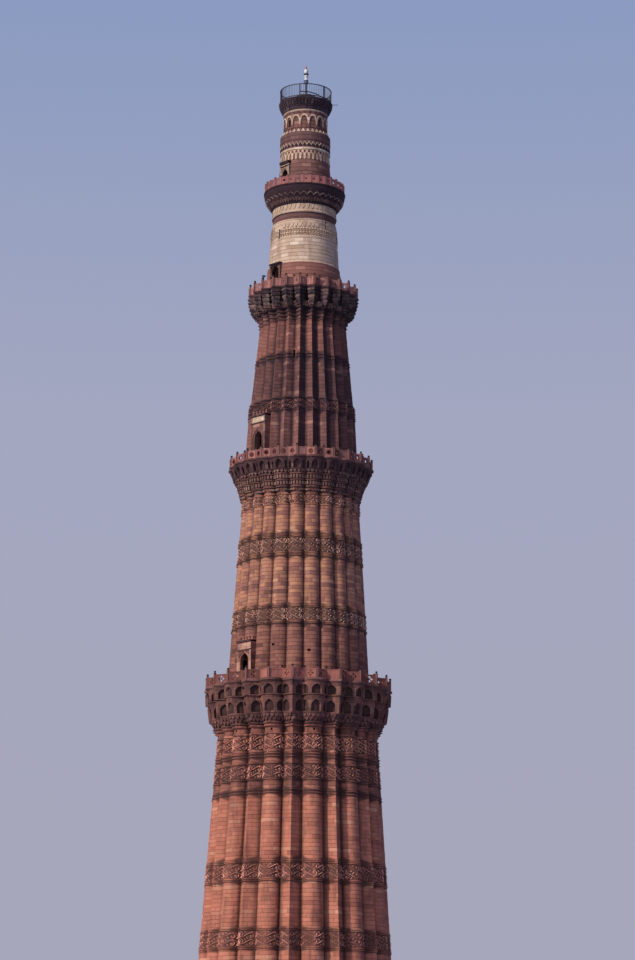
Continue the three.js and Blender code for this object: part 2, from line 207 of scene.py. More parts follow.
# %% Tiles
in_the_wall = -0.02


def slab(outline, front, back=in_the_wall, holes=()):
    """A closed block from a flat outline (x, z), with a front and a back distance from the wall."""
    shape = bmesh.new()
    edges = []
    for loop in (outline, *holes):
        points = [shape.verts.new((x, -front, z)) for x, z in loop]
        edges += [shape.edges.new(pair) for pair in zip(points, points[1:] + points[:1])]
    if holes:
        bmesh.ops.triangle_fill(shape, edges=edges, use_beauty=True)
    else:
        shape.faces.new(shape.verts)
    made = bmesh.ops.extrude_face_region(shape, geom=list(shape.faces))["geom"]
    bmesh.ops.translate(shape, vec=(0, front - back, 0),
                        verts=[part for part in made if isinstance(part, bmesh.types.BMVert)])
    bmesh.ops.recalc_face_normals(shape, faces=list(shape.faces))
    return shape


def sliced(shape, steps):
    """The same tile, 1 wide, with upright edges that divide it evenly."""
    for x in (step / steps for step in range(1, steps)):
        bmesh.ops.bisect_plane(shape, geom=shape.verts[:] + shape.edges[:] + shape.faces[:],
                               plane_co=(x, 0, 0), plane_no=(1, 0, 0), dist=1e-6)
    return shape


def merged(*shapes):
    """Several shapes as one, and the first ones are used up."""
    whole = bmesh.new()
    for shape in shapes:
        part = bpy.data.meshes.new("part")
        shape.to_mesh(part)
        whole.from_mesh(part)
        shape.free()
        bpy.data.meshes.remove(part)
    return whole


print("a tile's back lies", -in_the_wall, "m inside the wall")

# %% [markdown]
# ## Rows
# A row is laid out flat first, with one rib as its unit of length, and each of its points is then
# taken to its place on the plan. At a corner of the plan a point stands out a little further, so
# that two faces of a carving still meet there.


# %% Rows
def in_a_row(tile, count, start=-0.5, chosen=lambda copy: True):
    """Copies of a tile that is 1 wide, so many to the whole turn, from a place before the door's rib."""
    part = bpy.data.meshes.new("tile")
    tile.to_mesh(part)
    tile.free()
    row = bmesh.new()
    for copy in filter(chosen, range(count)):
        row.from_mesh(part)
        row.verts.ensure_lookup_table()
        for point in row.verts[-len(part.vertices):]:
            point.co.x = start + (copy + point.co.x) * ribs_round / count
    bpy.data.meshes.remove(part)
    return row


def bent(row, plan, levels):
    """A flat row wrapped round the tower: x counts ribs, -y stands out from the wall."""
    for point in row.verts:
        angle, share, facing, stretch = plan.at(round(point.co.x, 5))
        radius, depth = between(levels, point.co.z)
        reach = radius * (1 - depth * (1 - share))
        out = -point.co.y * stretch
        point.co.x = reach * sin(angle) + out * sin(facing)
        point.co.y = -reach * cos(angle) - out * cos(facing)
    return row


print("a row is", ribs_round, "ribs long")

# %% [markdown]
# ## Finishing a piece
# Each shape becomes an object once: scaled to the model, its faces turned outwards, smooth across
# a round rib but sharp at an arris. It is hung from the root body, and the imported solids that it
# replaces are hidden. A finish records the slot that it usually fills, but a piece does not use it.

# %% Make a piece
sharp_angle = radians(32)
usual_slot = {}


def linked(name, data):
    made = bpy.data.objects.new(name, data)
    bpy.context.scene.collection.objects.link(made)
    return made


def as_mesh(name, shape):
    """The shape's mesh at the model's scale, and the shape is used up."""
    bmesh.ops.scale(shape, vec=(scale, scale, scale), verts=shape.verts)
    bmesh.ops.recalc_face_normals(shape, faces=list(shape.faces))
    mesh = bpy.data.meshes.new(name)
    shape.to_mesh(mesh)
    shape.free()
    return mesh


def piece(name, shape, finish, nodes=(), slot=None):
    slot = slot or usual_slot[finish.name]
    mesh = as_mesh(name, shape)
    mesh.shade_smooth()
    mesh.set_sharp_from_angle(angle=sharp_angle)
    mesh.materials.append(finish)
    made = linked(name, mesh)
    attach(made, "root")
    if nodes:
        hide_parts(*nodes)
    print(name, "has", len(mesh.polygons), "faces")
    return made


def wrapped(name, plan, levels, finish, *rows):
    """Rows of (tile, how many to the whole turn, ...), bent round the tower as one piece."""
    piece(name, bent(merged(*(in_a_row(*row) for row in rows)), plan, levels), finish)


def cut(made, cutter):
    """Takes a closed shape, in tower metres, out of a finished piece."""
    tool = linked("cutter", as_mesh("cutter", cutter))
    modifier = made.modifiers.new("cut", "BOOLEAN")
    modifier.operation = "DIFFERENCE"
    modifier.solver = "EXACT"
    modifier.object = tool
    view = bpy.context.evaluated_depsgraph_get()
    result = bpy.data.meshes.new_from_object(made.evaluated_get(view), depsgraph=view)
    made.modifiers.clear()
    old, made.data = made.data, result
    result.name = made.name
    result.set_sharp_from_angle(angle=sharp_angle)
    mesh = tool.data
    bpy.data.objects.remove(tool)
    bpy.data.meshes.remove(mesh)
    bpy.data.meshes.remove(old)


print("edges over", round(degrees(sharp_angle)), "degrees are sharp")

# %% [markdown]
# ## Shader maths in plain Python
# A stone finish is mostly arithmetic: which course is this, how near is the joint, how much stain
# has run down. Writing that as a node graph by hand is slow to read, so a value here is a small
# wrapper round a socket, and Python's own signs add the Math nodes.


# %% Values
def sign(operation, reflected=False):
    """The work of one of Python's signs, which adds a Math node."""
    def work(value, other):
        return value.nodes.math(operation, *((other, value) if reflected else (value, other)))
    return work


class Shade:
    """One output of a node that Python's signs can work on."""

    def __init__(self, nodes, socket):
        self.nodes = nodes
        self.socket = socket

    __add__ = __radd__ = sign("ADD")
    __mul__ = __rmul__ = sign("MULTIPLY")
    __sub__, __rsub__ = sign("SUBTRACT"), sign("SUBTRACT", reflected=True)
    __truediv__, __rtruediv__ = sign("DIVIDE"), sign("DIVIDE", reflected=True)
    __mod__, __rmod__ = sign("FLOORED_MODULO"), sign("FLOORED_MODULO", reflected=True)
    __gt__, __lt__ = sign("GREATER_THAN"), sign("LESS_THAN")


print("signs that add a Math node:", "+ - * / % < >")

# %% [markdown]
# ## Nodes from one method
# Every other node is made by one method, which takes its kind, its settings and what goes into
# its sockets. Colours are written as six hex digits, two each for red, green and blue, as they
# look on a screen.


# %% Nodes
def tone(code):
    """A colour as a screen shows it, turned into the linear light that a shader wants."""
    levels = [int(code[spot:spot + 2], 16) / 255 for spot in (0, 2, 4)]
    return (*(level / 12.92 if level <= 0.04045 else ((level + 0.055) / 1.055) ** 2.4
              for level in levels), 1.0)


class Nodes:
    """The node tree of a material or of the sky, whose nodes are made by calls."""

    def __init__(self, owner):
        owner.use_nodes = True
        self.tree = owner.node_tree
        self.tree.nodes.clear()

    def feed(self, socket, value):
        """Links a value to a socket, or sets it to a number or to a colour's digits."""
        if isinstance(value, Shade):
            self.tree.links.new(value.socket, socket)
        else:
            socket.default_value = tone(value) if isinstance(value, str) else value

    def node(self, kind, settings, inputs, output=0):
        """A node of a kind: its settings first, then its sockets' values or links."""
        made = self.tree.nodes.new(kind)
        for name, setting in settings.items():
            if name == "stops":
                ramp = made.color_ramp.elements
                for stop, (position, code) in enumerate(setting):
                    if stop > 1:
                        ramp.new(position)
                    ramp[stop].position, ramp[stop].color = position, tone(code)
            else:
                setattr(made, name, setting)
        for name, value in inputs.items():
            self.feed(made.inputs[name], value)
        return Shade(self, made.outputs[output])

    def end(self, kind, shader):
        """The output node, fed by a shader."""
        self.feed(self.tree.nodes.new(kind).inputs["Surface"], shader)

    def math(self, operation, *values):
        return self.node("ShaderNodeMath", {"operation": operation}, dict(enumerate(values)))

    def larger(self, first, second):
        return self.math("MAXIMUM", first, second)


print("a screen's middle grey gives", round(tone("808080")[0], 3), "of white's light")

# %% [markdown]
# ## A finish
# Every finish is one Principled shader. It reads Object coordinates, which here are places on the
# tower in metres, so courses and stains run on from one piece to the next.


# %% Finish
class Finish(Nodes):
    """A material whose patterns are laid out in tower metres."""

    def __init__(self, name, slot, roughness=0.9):
        self.material = bpy.data.materials.new(name)
        usual_slot[self.material.name] = slot
        super().__init__(self.material)
        self.shader = self.node("ShaderNodeBsdfPrincipled", {},
                                {"Roughness": roughness, "Specular IOR Level": 0.3})
        self.end("ShaderNodeOutputMaterial", self.shader)
        place = self.node("ShaderNodeTexCoord", {}, {}, "Object")
        self.place = self.node("ShaderNodeVectorMath", {"operation": "SCALE"},
                               {0: place, "Scale": 1 / scale})
        self.x, self.y, self.z = (
            self.node("ShaderNodeSeparateXYZ", {}, {0: self.place}, axis) for axis in "XYZ")

    def show(self, name, value):
        """Feeds one of the Principled shader's sockets."""
        self.feed(self.shader.socket.node.inputs[name], value)

    def around(self, count):
        """Where a point is round the tower from the door side, so many to the whole turn."""
        return self.math("ARCTAN2", self.x, self.y * -1.0) * (count / full_turn)

    def floor(self, value):
        return self.math("FLOOR", value)

    def smooth(self, value, low, high):
        """0 under low, 1 over high, and an easy slope between."""
        return self.node("ShaderNodeMapRange", {"interpolation_type": "SMOOTHSTEP"},
                         {"Value": value, "From Min": low, "From Max": high})

    def chance(self, x, y, z=0.0):
        """A steady random number from 0 to 1 for each whole x, y and z."""
        place = self.node("ShaderNodeCombineXYZ", {}, {0: x, 1: y, 2: z})
        return self.node("ShaderNodeTexWhiteNoise", {}, {"Vector": place}, "Value")

    def noise(self, size, detail=4.0, upright=1.0):
        """Cloudy noise whose patches are about size across, and longer upwards where upright > 1."""
        place = self.node("ShaderNodeVectorMath", {"operation": "MULTIPLY"},
                          {0: self.place, 1: (1 / size, 1 / size, 1 / size / upright)})
        return self.node("ShaderNodeTexNoise", {}, {"Vector": place, "Scale": 1.0, "Detail": detail})

    def mix(self, factor, first, second):
        return self.node("ShaderNodeMix", {"data_type": "RGBA"}, {0: factor, 6: first, 7: second}, 2)

    def ramp(self, value, codes):
        codes = codes.split()
        stops = [(place / (len(codes) - 1), code) for place, code in enumerate(codes)]
        return self.node("ShaderNodeValToRGB", {"stops": stops}, {0: value})

    def bump(self, height, distance):
        self.show("Normal", self.node("ShaderNodeBump", {}, {
            "Height": height, "Distance": distance * scale, "Strength": 1.0}))


print("a finish reads Object coordinates, times", 1 / scale)

# %% [markdown]
# ## Sandstone
# The sandstone came from several beds, so whole courses differ in colour, and stones in a course
# differ a little again. Joints are thin. Rain has washed dark streaks down the faces, and the
# valleys between ribs are darkened with soot and with painted shade. One function makes every
# stone on the tower from its tones, the height of its courses and how many stones there are to a
# rib. Where a storey changes from one stone to another part way up, the tones change at that height.


# %% Courses and stones
joint_start, joint_end = 0.004, 0.016


def masonry(finish, foot, course, stones, drift):
    """(chance of each stone, chance of each course, 1 on a joint) for stones laid in courses."""
    row = (finish.z - foot) / course
    number = finish.floor(row)
    shift = finish.chance(number, drift) * 0.4
    along = finish.around(ribs_round) * stones + shift + (number % 2.0) * 0.5
    block = finish.floor(along)
    level, beside = row - number, along - block
    to_bed = finish.math("MINIMUM", level, 1.0 - level) * course
    to_side = finish.math("MINIMUM", beside, 1.0 - beside) * (1.3 / stones)
    joint = 1.0 - finish.smooth(finish.math("MINIMUM", to_bed, to_side), joint_start, joint_end)
    return finish.chance(number, block, drift), finish.chance(number, drift, 7.0), joint


def painted_shade_faces(finish):
    """Painted shade: high on the right-hand faces of the ribs and on the side of the tower turned from the
    sun.
    """
    around = finish.around(ribs_round)
    across = around - finish.floor(around + 0.5)
    face = finish.smooth(across, -0.01, 0.03) * finish.smooth(around, 2.2, 3.0)
    far_side = finish.smooth(around, 4.0, 5.5) * 0.6
    return finish.larger(face, far_side) * (1.0 - finish.smooth(around, 10.0, 12.0))


print("joints are", 2 * joint_end, "m wide")

# %% [markdown]
# ## One finish for every stone
# The chances pick a tone from dark to light. Streaks, soot and painted shade in the hollows, joints,
# blotches and painted shade on faces turned from the sun then darken it, and only the strongest of
# them counts at each point, so they never pile up to black.


# %% Stone finish
def stone_finish(name, zones, dark_tone, drift, slot="stained_sandstone", foot=0.0, course=0.27, stones=2.0,
                 stripe=0.2, wash=0.7, joints=0.3, mottle=0.0, painted_side_shade=0.0, blotch=0.0):
    """Stone in courses. Zones are (height from which it shows, its tones), from the foot up.

    The drift moves the stone's chances, so that no two finishes have the same pattern.
    """
    finish = Finish(name, slot)
    stone, bed, joint = masonry(finish, foot, course, stones, drift)
    grain = finish.noise(0.05)
    cloud = finish.noise(1.6)
    streak = finish.noise(0.35, upright=9.0)
    pick = bed * stripe + stone * (0.75 - stripe) + grain * 0.1 + cloud * 0.15
    pick = (pick - 0.5) * 1.4 + 0.5
    if mottle:
        pick = pick + (finish.noise(0.11, 3.0) - 0.5) * mottle
    colour = finish.ramp(pick, zones[0][1])
    for height, tones in zones[1:]:
        colour = finish.mix(finish.z > height, colour, finish.ramp(pick, tones))
    shade_and_soot = finish.node("ShaderNodeAttribute", {"attribute_name": "shade_and_soot"}, {}, "Fac")
    dark = finish.smooth(streak * 0.7 + cloud * 0.5, 0.55, 0.85) * wash
    # points deep in valleys, recesses and creases darken: painted shade, with soot
    dark = finish.larger(dark, finish.smooth(shade_and_soot + streak * 0.35, 0.62, 1.2) * 0.8)
    dark = finish.larger(dark, joint * joints)
    if blotch:
        patches = finish.smooth(finish.noise(0.9, 3.0, upright=1.6), 0.47, 0.6)
        dark = finish.larger(dark, patches * blotch)
    # painted shade on the faces turned from the sun, broken up by the streaks
    if painted_side_shade:
        dark = finish.larger(dark, painted_shade_faces(finish) * (painted_side_shade + (streak - 0.5) * 0.5))
    finish.show("Base Color", finish.mix(dark, colour, dark_tone))
    finish.bump(grain * 0.35 + cloud * 0.4 + finish.noise(0.16, 3.0) * 0.4 - joint * 0.4, 0.03)
    return finish.material


# %% [markdown]
# ## Stones of the five storeys
# The tones are given from dark to light for each stretch of wall. The second storey's
# buff stone grows paler upwards, and the fourth is marble over a foot of rose sandstone.

# %% Stones of the storeys
stain_and_shade_brown = "302222"
rose = "785045 966455 86594e b88671"
marble_tones = "ac9177 ccb195 bea389 e8d3b9"
grey_red = "5c413c 74514a"
brown = "5e413b 7e584e 6d4a44 9a7264"
grey_brown = "543c3a 70504c 624642 88645c"
deep_red = "764a3d a26754 8c5949 c4836a"
buff = "745046 a66f5a ba8363 8c5c52 cc9775"
maroon = "503735 765049 62413d 9c7061"

red_stone = stone_finish(
    "red_sandstone",
    [(0, "9a5c4a c27c62 aa6a54 d49878"), (21.95, "70463a 986150 825345 b0755f"), (22.9, deep_red)],
    stain_and_shade_brown, 3.0, "red_sandstone", floors[0], stripe=0.4, wash=0.5)
buff_stone = stone_finish(
    "buff_sandstone", [(0, "5a3c35 845649 986655 704640 aa7a62"), (33.5, buff)],
    stain_and_shade_brown, 5.0, "buff_sandstone", floors[1], course=0.26, stripe=0.38, wash=0.5)
maroon_stone = stone_finish(
    "maroon_sandstone",
    [(0, "62433f 8c5f55 764f49 b0806e"), (48.5, maroon), (52.6, "68433c 946154 7e5148 b8826e")],
    "241a24", 9.0, "maroon_sandstone", floors[2], stones=1.5, stripe=0.3, wash=0.5, mottle=0.2, painted_side_shade=0.8)
marble_stone = stone_finish(
    "marble_and_red", [(0, rose), (59.42, marble_tones), (62.67, grey_red), (63.17, marble_tones)],
    "70584e", 29.0, "marble", floors[3], stones=1.0, stripe=0.25, wash=0.5, joints=0.4)
brown_stone = stone_finish(
    "brown_and_marble",
    [(0, brown), (67.98, marble_tones), (68.15, grey_brown), (69.58, brown), (70.96, marble_tones)],
    "362628", 11.0, "brown_sandstone", floors[4], course=0.30, stones=0.75, stripe=0.25, wash=0.5,
    joints=0.15, mottle=0.3)
marble_trim = stone_finish("marble", [(0, marble_tones)], "70544a", 31.0, "marble", mottle=0.5)
door_stone = stone_finish("pale_door_stone", [(0, "8c7064 b29280")], "543e3a", 35.0,
                          "marble", mottle=0.4)
print("storey finishes:", 7)

# %% [markdown]
# ## Stones of the balconies and bands
# Soot has blackened the corbels, most of all high up, and their carving breaks the courses. A
# strong mottle and blotches stand for the carving that is too worn to model; the mottle is partly
# painted light and shade of that carving.

# %% Stones of the balconies
sooty = "62403a 865a4e 724b42 a47563"
blackened = "3c272a 5e413e 4b3334 826057"
bell_tones = "26191f 39262a 2f1f24 4c3636"
carving = {"course": 1.0, "stripe": 0.1}
corbel_stone = stone_finish("corbel_sandstone", [(0, deep_red), (26.55, sooty)], "221a1c", 13.0,
                            foot=floors[1], course=0.5, stripe=0.15, wash=0.8, mottle=0.7, blotch=0.5)
dark_corbel = stone_finish("dark_corbel_sandstone", [(0, buff), (42.6, sooty), (43.9, blackened)],
                           "1c161a", 15.0, foot=floors[2], course=0.35, stripe=0.15, mottle=0.7,
                           blotch=0.4)
black_corbel = stone_finish("black_corbel_sandstone", [(0, maroon), (55.7, blackened)], "181218", 21.0,
                            foot=floors[3], course=0.35, stripe=0.15, mottle=0.6, painted_side_shade=0.8)
black_stone = stone_finish(
    "blackened_sandstone",
    [(0, blackened), (58.0, bell_tones), (70.8, "2c222c 4c3a40 362931 645153"), (71.97, bell_tones)],
    "161218", 23.0, course=0.3, wash=0.6, mottle=0.6)
worn_relief = stone_finish("worn_relief", [(0, "5a403a 8c6a5c 72544a a4806e")], "2c2224", 33.0,
                           course=0.5, stripe=0.1, wash=0.9, mottle=0.8)
bracket_stone = stone_finish("bracket_sandstone", [(0, "2c2026 866c62")], "181218", 51.0,
                             course=0.3, stripe=0.1, mottle=1.8, painted_side_shade=0.8)
lip_stone = stone_finish("lip_sandstone", [(0, "5c3c36 885e54")], "2c2022", 55.0, wash=0.6,
                         mottle=0.4, **carving)
dark_red = stone_finish("dark_red_sandstone", [(0, "542824 783c36")], "281818", 37.0,
                        wash=0.5, **carving)
carved_red = stone_finish("carved_red_sandstone", [(0, "a06858 eeaa90")], "3a2826", 25.0,
                          "red_sandstone", mottle=0.9, **carving)
carved_brown = stone_finish("carved_brown_sandstone", [(0, "9e7262 ecbb9e")], "3a2c28",
                            27.0, "buff_sandstone", mottle=0.9, **carving)
carved_maroon = stone_finish("carved_maroon_sandstone", [(0, "764f49 ae7d6f")], "2e2022",
                             39.0, "maroon_sandstone", mottle=0.4, **carving)
print("balcony and band finishes:", 11)

# %% [markdown]
# ## Balustrade stone
# The panels of the balustrades are newer than the rest and each was cut from its own stone, so
# the tone changes from panel to panel. The chance therefore counts panels round the tower.


# %% Panel finish
def panel_finish(name, panels, tones, dark_tone, drift):
    finish = Finish(name, "pink_sandstone")
    panel = finish.chance(finish.floor(finish.around(panels)), drift)
    streak = finish.noise(0.25, upright=5.0)
    grain = finish.noise(0.04)
    colour = finish.ramp(panel * 0.8 + grain * 0.2, tones)
    dark = finish.smooth(streak + (panel - 0.5) * 0.2, 0.5, 0.75) * 0.6
    finish.show("Base Color", finish.mix(dark, colour, dark_tone))
    finish.bump(grain * 0.4 + streak * 0.4, 0.02)
    return finish.material


lowest_panels = panel_finish("brown_pink_sandstone", 48, "50322c 945a50 644038 bc7668 583a33", "3c2826", 47.0)
lower_panels = panel_finish("pink_sandstone", 48, "543a36 925e58 6c4a44 b47c72 5e443e", "422e2e", 41.0)
upper_panels = panel_finish("orange_sandstone", 32, "784e4b aa6e66 8c5c57 bc867c", "4a3232", 43.0)
knob_stone = panel_finish("knob_sandstone", 24, "1e181e 382a2c", "161216", 53.0)
post_stone = panel_finish("post_sandstone", 24, "5c3e38 926258", "342626", 49.0)
print("panel finishes:", 5)

# %% [markdown]
# ## Iron and paint
# The roof carries a plain iron railing and a lamp on a short mast. Both are painted, and the
# paint has weathered: cloudy noise varies its tone and its gloss.


# %% Painted finishes
def paint(name, fresh, worn, roughness, slot="painted_iron"):
    finish = Finish(name, slot)
    cloud = finish.noise(0.12)
    finish.show("Base Color", finish.mix(finish.smooth(cloud, 0.45, 0.7), fresh, worn))
    finish.show("Roughness", cloud * 0.3 + (roughness - 0.15))
    finish.bump(finish.noise(0.02, 2.0), 0.004)
    return finish.material


dark_iron = paint("painted_iron", "2c2c3a", "483e3e", 0.55)
grey_paint = paint("grey_paint", "545c70", "424652", 0.5)
blue_paint = paint("blue_paint", "4a648e", "48546e", 0.5)
white_paint = paint("white_paint", "e2e2e2", "beb6ae", 0.4, "painted_white")
red_paint = paint("red_paint", "aa6e64", "82544c", 0.45, "painted_white")
black_paint = paint("black_paint", "16181e", "363232", 0.45, "painted_white")
print("painted finishes:", 6)

# %% [markdown]
# ## Shafts
# A shaft's profile climbs the outside course by course, with a fine groove at each bed joint and
# each course set a hair in or out, as old masonry is. Where a carved band goes round, the profile
# steps out into a few thin rolls, a flat field and more rolls.

# %% The outside of a shaft
chance = random.Random(24)
joint_half_height, joint_depth, unevenness = 0.010, 0.014, 0.006
roll_height = 0.10
# how far out and how high each point of a roll lies, and how dark: painted shade in the crease under the
# roll, with dirt
roll_points = ((0, 0, 1.0), (0.06, 0.025, 0.55), (0.069, 0.05, 0.35), (0.06, 0.075, 0.55))


def rolls(levels, foot, count):
    """Thin rounded mouldings one above the other, standing out from a wall."""
    points = []
    for low in (foot + number * roll_height for number in range(count)):
        radius = between(levels, low)[0]
        points += [(radius + out, low + rise, 1, shade_and_dirt) for out, rise, shade_and_dirt in roll_points]
    return [*points, (between(levels, foot)[0], foot + count * roll_height, 1, 0.8)]


def field_of(band, margin):
    """The foot and the head of a band's field, between its lower and its upper rolls."""
    low, high, under, over = band
    return low + under * roll_height + margin, high - over * roll_height - margin


def outside(levels, course, bands=()):
    """The outer profile of a shaft. A band is (foot, head, rolls under its field, rolls over it)."""
    def at(height, out):
        radius, depth = between(levels, height)
        return radius + out, height, depth

    points, set_back, joint = list(levels), 0, levels[0][1] + course
    while joint < levels[-1][1] - 0.1:
        clear = not any(low - 0.08 < joint < high + 0.08 for low, high, *_ in bands)
        if clear and not any(abs(joint - level[1]) < 0.04 for level in levels):
            points.append(at(joint - joint_half_height, set_back))
            set_back = chance.uniform(-unevenness, unevenness)
            points += [at(joint, -joint_depth), at(joint + joint_half_height, set_back)]
        joint += course
    for band in bands:
        low, _, under, over = band
        foot, head = field_of(band, 0)
        # a belt's field is darkened: painted shade between its carved strokes, with grime
        shade_and_dirt = 0.85 if low < 20 else 0.98
        points += rolls(levels, low, under)
        points += [(between(levels, end)[0] + 0.01, end + inwards, 1, shade_and_dirt)
                   for end, inwards in ((foot, 0.02), (head, -0.02))]
        points += rolls(levels, head, over)
    return sorted(points, key=lambda point: point[1])


def hollow(profile, bore):
    """A wall's profile, from its outside and the radius of the round hollow in it."""
    return [*profile, (bore, profile[-1][1]), (bore, profile[0][1])]


print("a roll is", roll_height, "m high and a joint", 2 * joint_half_height)

# %% [markdown]
# ## Openings
# A doorway or a window is an outline, drawn as if it faced the door side. A block of that outline
# is turned to its own side and cut through the wall with a boolean, because an opening crosses
# the grid of faces at odd places.


# %% Outlines of openings
def rectangle(left, right, foot, head):
    return [(left, foot), (right, foot), (right, head), (left, head)]


def arch(middle, half_width, foot, springing, apex, steps=5):
    """The outline of an opening with upright sides and a pointed head."""
    curve = [(half_width * (1 - (step / steps) ** 2), springing + (apex - springing) * step / steps)
             for step in range(steps)]
    left = [(middle - x, z) for x, z in reversed(curve)]
    return [(middle - half_width, foot), (middle + half_width, foot),
            *((middle + x, z) for x, z in curve), (middle, apex), *left]


def faced(shape, angle):
    """Turns a flat block that was made at the door side to face an angle, in degrees."""
    turn = Matrix.Rotation(radians(angle), 3, "Z")
    bmesh.ops.rotate(shape, cent=(0, 0, 0), matrix=turn, verts=shape.verts)
    return shape


print("a pointed head has", len(arch(0, 1, 0, 1, 2)) - 2, "points")

# %% [markdown]
# ## The three ribbed shafts
# Each is tallest and widest where it is lowest. Beside its doorway a shaft may have small light
# holes, given as half a width, a foot, a head and the angle that they face.

# %% Ribbed shafts
bores = [3.30, 2.55, 1.95, 1.50, 1.10]
# half the doorway's width, the height of its upright sides and the rise of its head, storey by storey
doors = [(0.55, 1.95, 0.62), (0.40, 1.61, 0.44), (0.38, 1.70, 0.45), (0.36, 1.50, 0.37), (0.30, 1.12, 0.38)]


def door_outline(number, below=0.0):
    half_width, springing, rise = doors[number - 1]
    floor = floors[number - 1]
    return arch(0, half_width, floor - below, floor + springing, floor + springing + rise)


def head_of(number):
    return span(f"storey_{number}_right_wall")[1]


def shaft(number, plan, levels, course, finish, bands=(), holes=()):
    """One storey's wall, hollow, with its doorway and its small holes cut through."""
    sides = "left_jamb right_jamb front_wall right_wall back_wall left_wall"
    if number == 4:
        sides += " front_upper_left front_upper_right back_upper_left back_upper_right"
    nodes = [f"storey_{number}_{side}" for side in sides.split()]
    wall = turned(hollow(outside(levels, course, bands), bores[number - 1]), plan)
    made = piece(f"shaft_{number}", wall, finish, nodes)
    openings = [(door_outline(number, 0.3), 0)]
    openings += [(rectangle(-half, half, foot, head), angle) for half, foot, head, angle in holes]
    for outline, angle in openings:
        cut(made, faced(slab(outline, 10, 0.5), angle))


levels_1 = [(7.16, floors[0], 1), (5.91, 19.5, 1), (5.54, head_of(1), 1)]
bands_1 = [(3.2, 4.6, 2, 2), (7.5, 8.9, 2, 2), (11.8, 13.2, 2, 2), (16.2, 17.6, 2, 2),
           (21.95, 22.25, 1, 1), (22.85, 24.0, 1, 1), (24.35, 24.65, 1, 1)]
levels_2 = [(4.86, floors[1], 1), (4.47, 36.0, 1), (4.09, head_of(2), 1)]
bands_2 = [(33.45, 34.75, 2, 2), (38.10, 39.80, 3, 4)]
levels_3 = [(3.93, floors[2], 1), (3.68, 49.45, 1), (3.58, 49.60, 1), (3.04, head_of(3), 1)]
bands_3 = [(48.45, 49.40, 1, 1), (52.35, 52.65, 1, 1)]
shaft(1, alternate, levels_1, 0.27, red_stone, bands_1)
shaft(2, lobed, levels_2, 0.26, buff_stone, bands_2,
      [(0.11, 31.93, 32.09, 26.7), (0.11, 31.53, 31.69, 57.0)])
shaft(3, star, levels_3, 0.27, maroon_stone, bands_3, [(0.08, 52.36, 52.90, 37.5)])

# %% [markdown]
# ## The two upper shafts
# Above the third balcony the tower is round. The fourth storey is red sandstone as high as its
# door, and marble over that, with one red band. The fifth has a wide ring half way up, and its
# head is a blind arcade of sixteen bays, four of which hold a window.

# %% The upper shafts
levels_4 = [(2.70, floors[3]), (2.57, 59.38), (2.50, 59.46), (2.38, 61.28), (2.40, 61.32), (2.34, 61.38),
            (2.30, 62.37), (2.32, 62.41), (2.29, 62.45), (2.28, 62.66), (2.22, 62.68), (2.20, 63.14),
            (2.28, 63.17), (2.31, 63.25), (2.28, 63.33), (2.24, 63.36), (2.22, head_of(4))]
levels_5 = [(1.95, floors[4]), (1.78, 67.05), (1.70, 67.98), (1.78, 68.00), (1.80, 68.07), (1.78, 68.14),
            (1.76, 68.16), (1.76, 68.70), (1.80, 68.73), (1.79, 69.30), (1.66, 69.36), (1.64, 69.58),
            (1.55, 69.64), (1.52, 69.70), (1.50, 70.78), (1.56, 70.82), (1.55, 70.95), (1.58, 70.98),
            (1.60, 71.04), (1.58, head_of(5))]
shaft(4, plain, levels_4, 0.27, marble_stone, holes=[
    (0.08, 61.35, 62.06, 0), *((0.08, 62.00, 62.62, angle) for angle in (90, 180, 270))])
shaft(5, plain, levels_5, 0.30, brown_stone,
      holes=[(0.10, 69.88, 70.42, angle) for angle in (0, 90, 180, 270)])

# %% [markdown]
# ## Carved bands
# Belts of fine carving circle the storeys. Here they are scrollwork: a wavy stem with curls in
# its bays and small leaves. The stem is a three-sided bead that is extruded along its path, which
# needs few faces and still catches the light on one side, as worn carving does.

# %% Stems and leaves
sunk = 0.012


def vine(path, half_width, rise):
    """A closed bead of triangular section along a path on the wall."""
    shape = bmesh.new()
    cap = None
    for number, (x, z) in enumerate(path):
        ahead, behind = path[min(number + 1, len(path) - 1)], path[max(number - 1, 0)]
        along = Vector((ahead[0] - behind[0], 0, ahead[1] - behind[1])).normalized() * half_width
        if cap:
            made = bmesh.ops.extrude_face_region(shape, geom=[cap])["geom"]
            cap = next(part for part in made if isinstance(part, bmesh.types.BMFace))
        else:
            cap = shape.faces.new([shape.verts.new() for _ in range(3)])
        for point, spot in zip(cap.verts, [(x - along.z, sunk, z + along.x), (x, -rise, z),
                                           (x + along.z, sunk, z - along.x)]):
            point.co = spot
    return shape


def placed(shape, matrix):
    bmesh.ops.transform(shape, matrix=matrix, verts=shape.verts)
    return shape


def leaf(x, z, length, breadth, turn, rise):
    """A leaf or a petal as a low four-sided point."""
    shape = bmesh.new()
    bmesh.ops.create_cone(shape, cap_ends=True, segments=4, radius1=1, radius2=0, depth=rise + sunk)
    place = Matrix.Translation((x, sunk - (rise + sunk) / 2, z)) @ Matrix.Rotation(turn, 4, "Y")
    upright = Matrix.Rotation(pi / 2, 4, "X")
    return placed(shape, place @ upright @ Matrix.Diagonal((length / 2, breadth / 2, 1, 1)))


print("a stem's back lies", sunk, "m inside the wall")

# %% [markdown]
# ## A belt of scrollwork
# The stem swings once up and once down through two bays. Each bay holds a curl that winds inwards
# round a bud, and four leaves fill its corners. Two such rows make a belt.


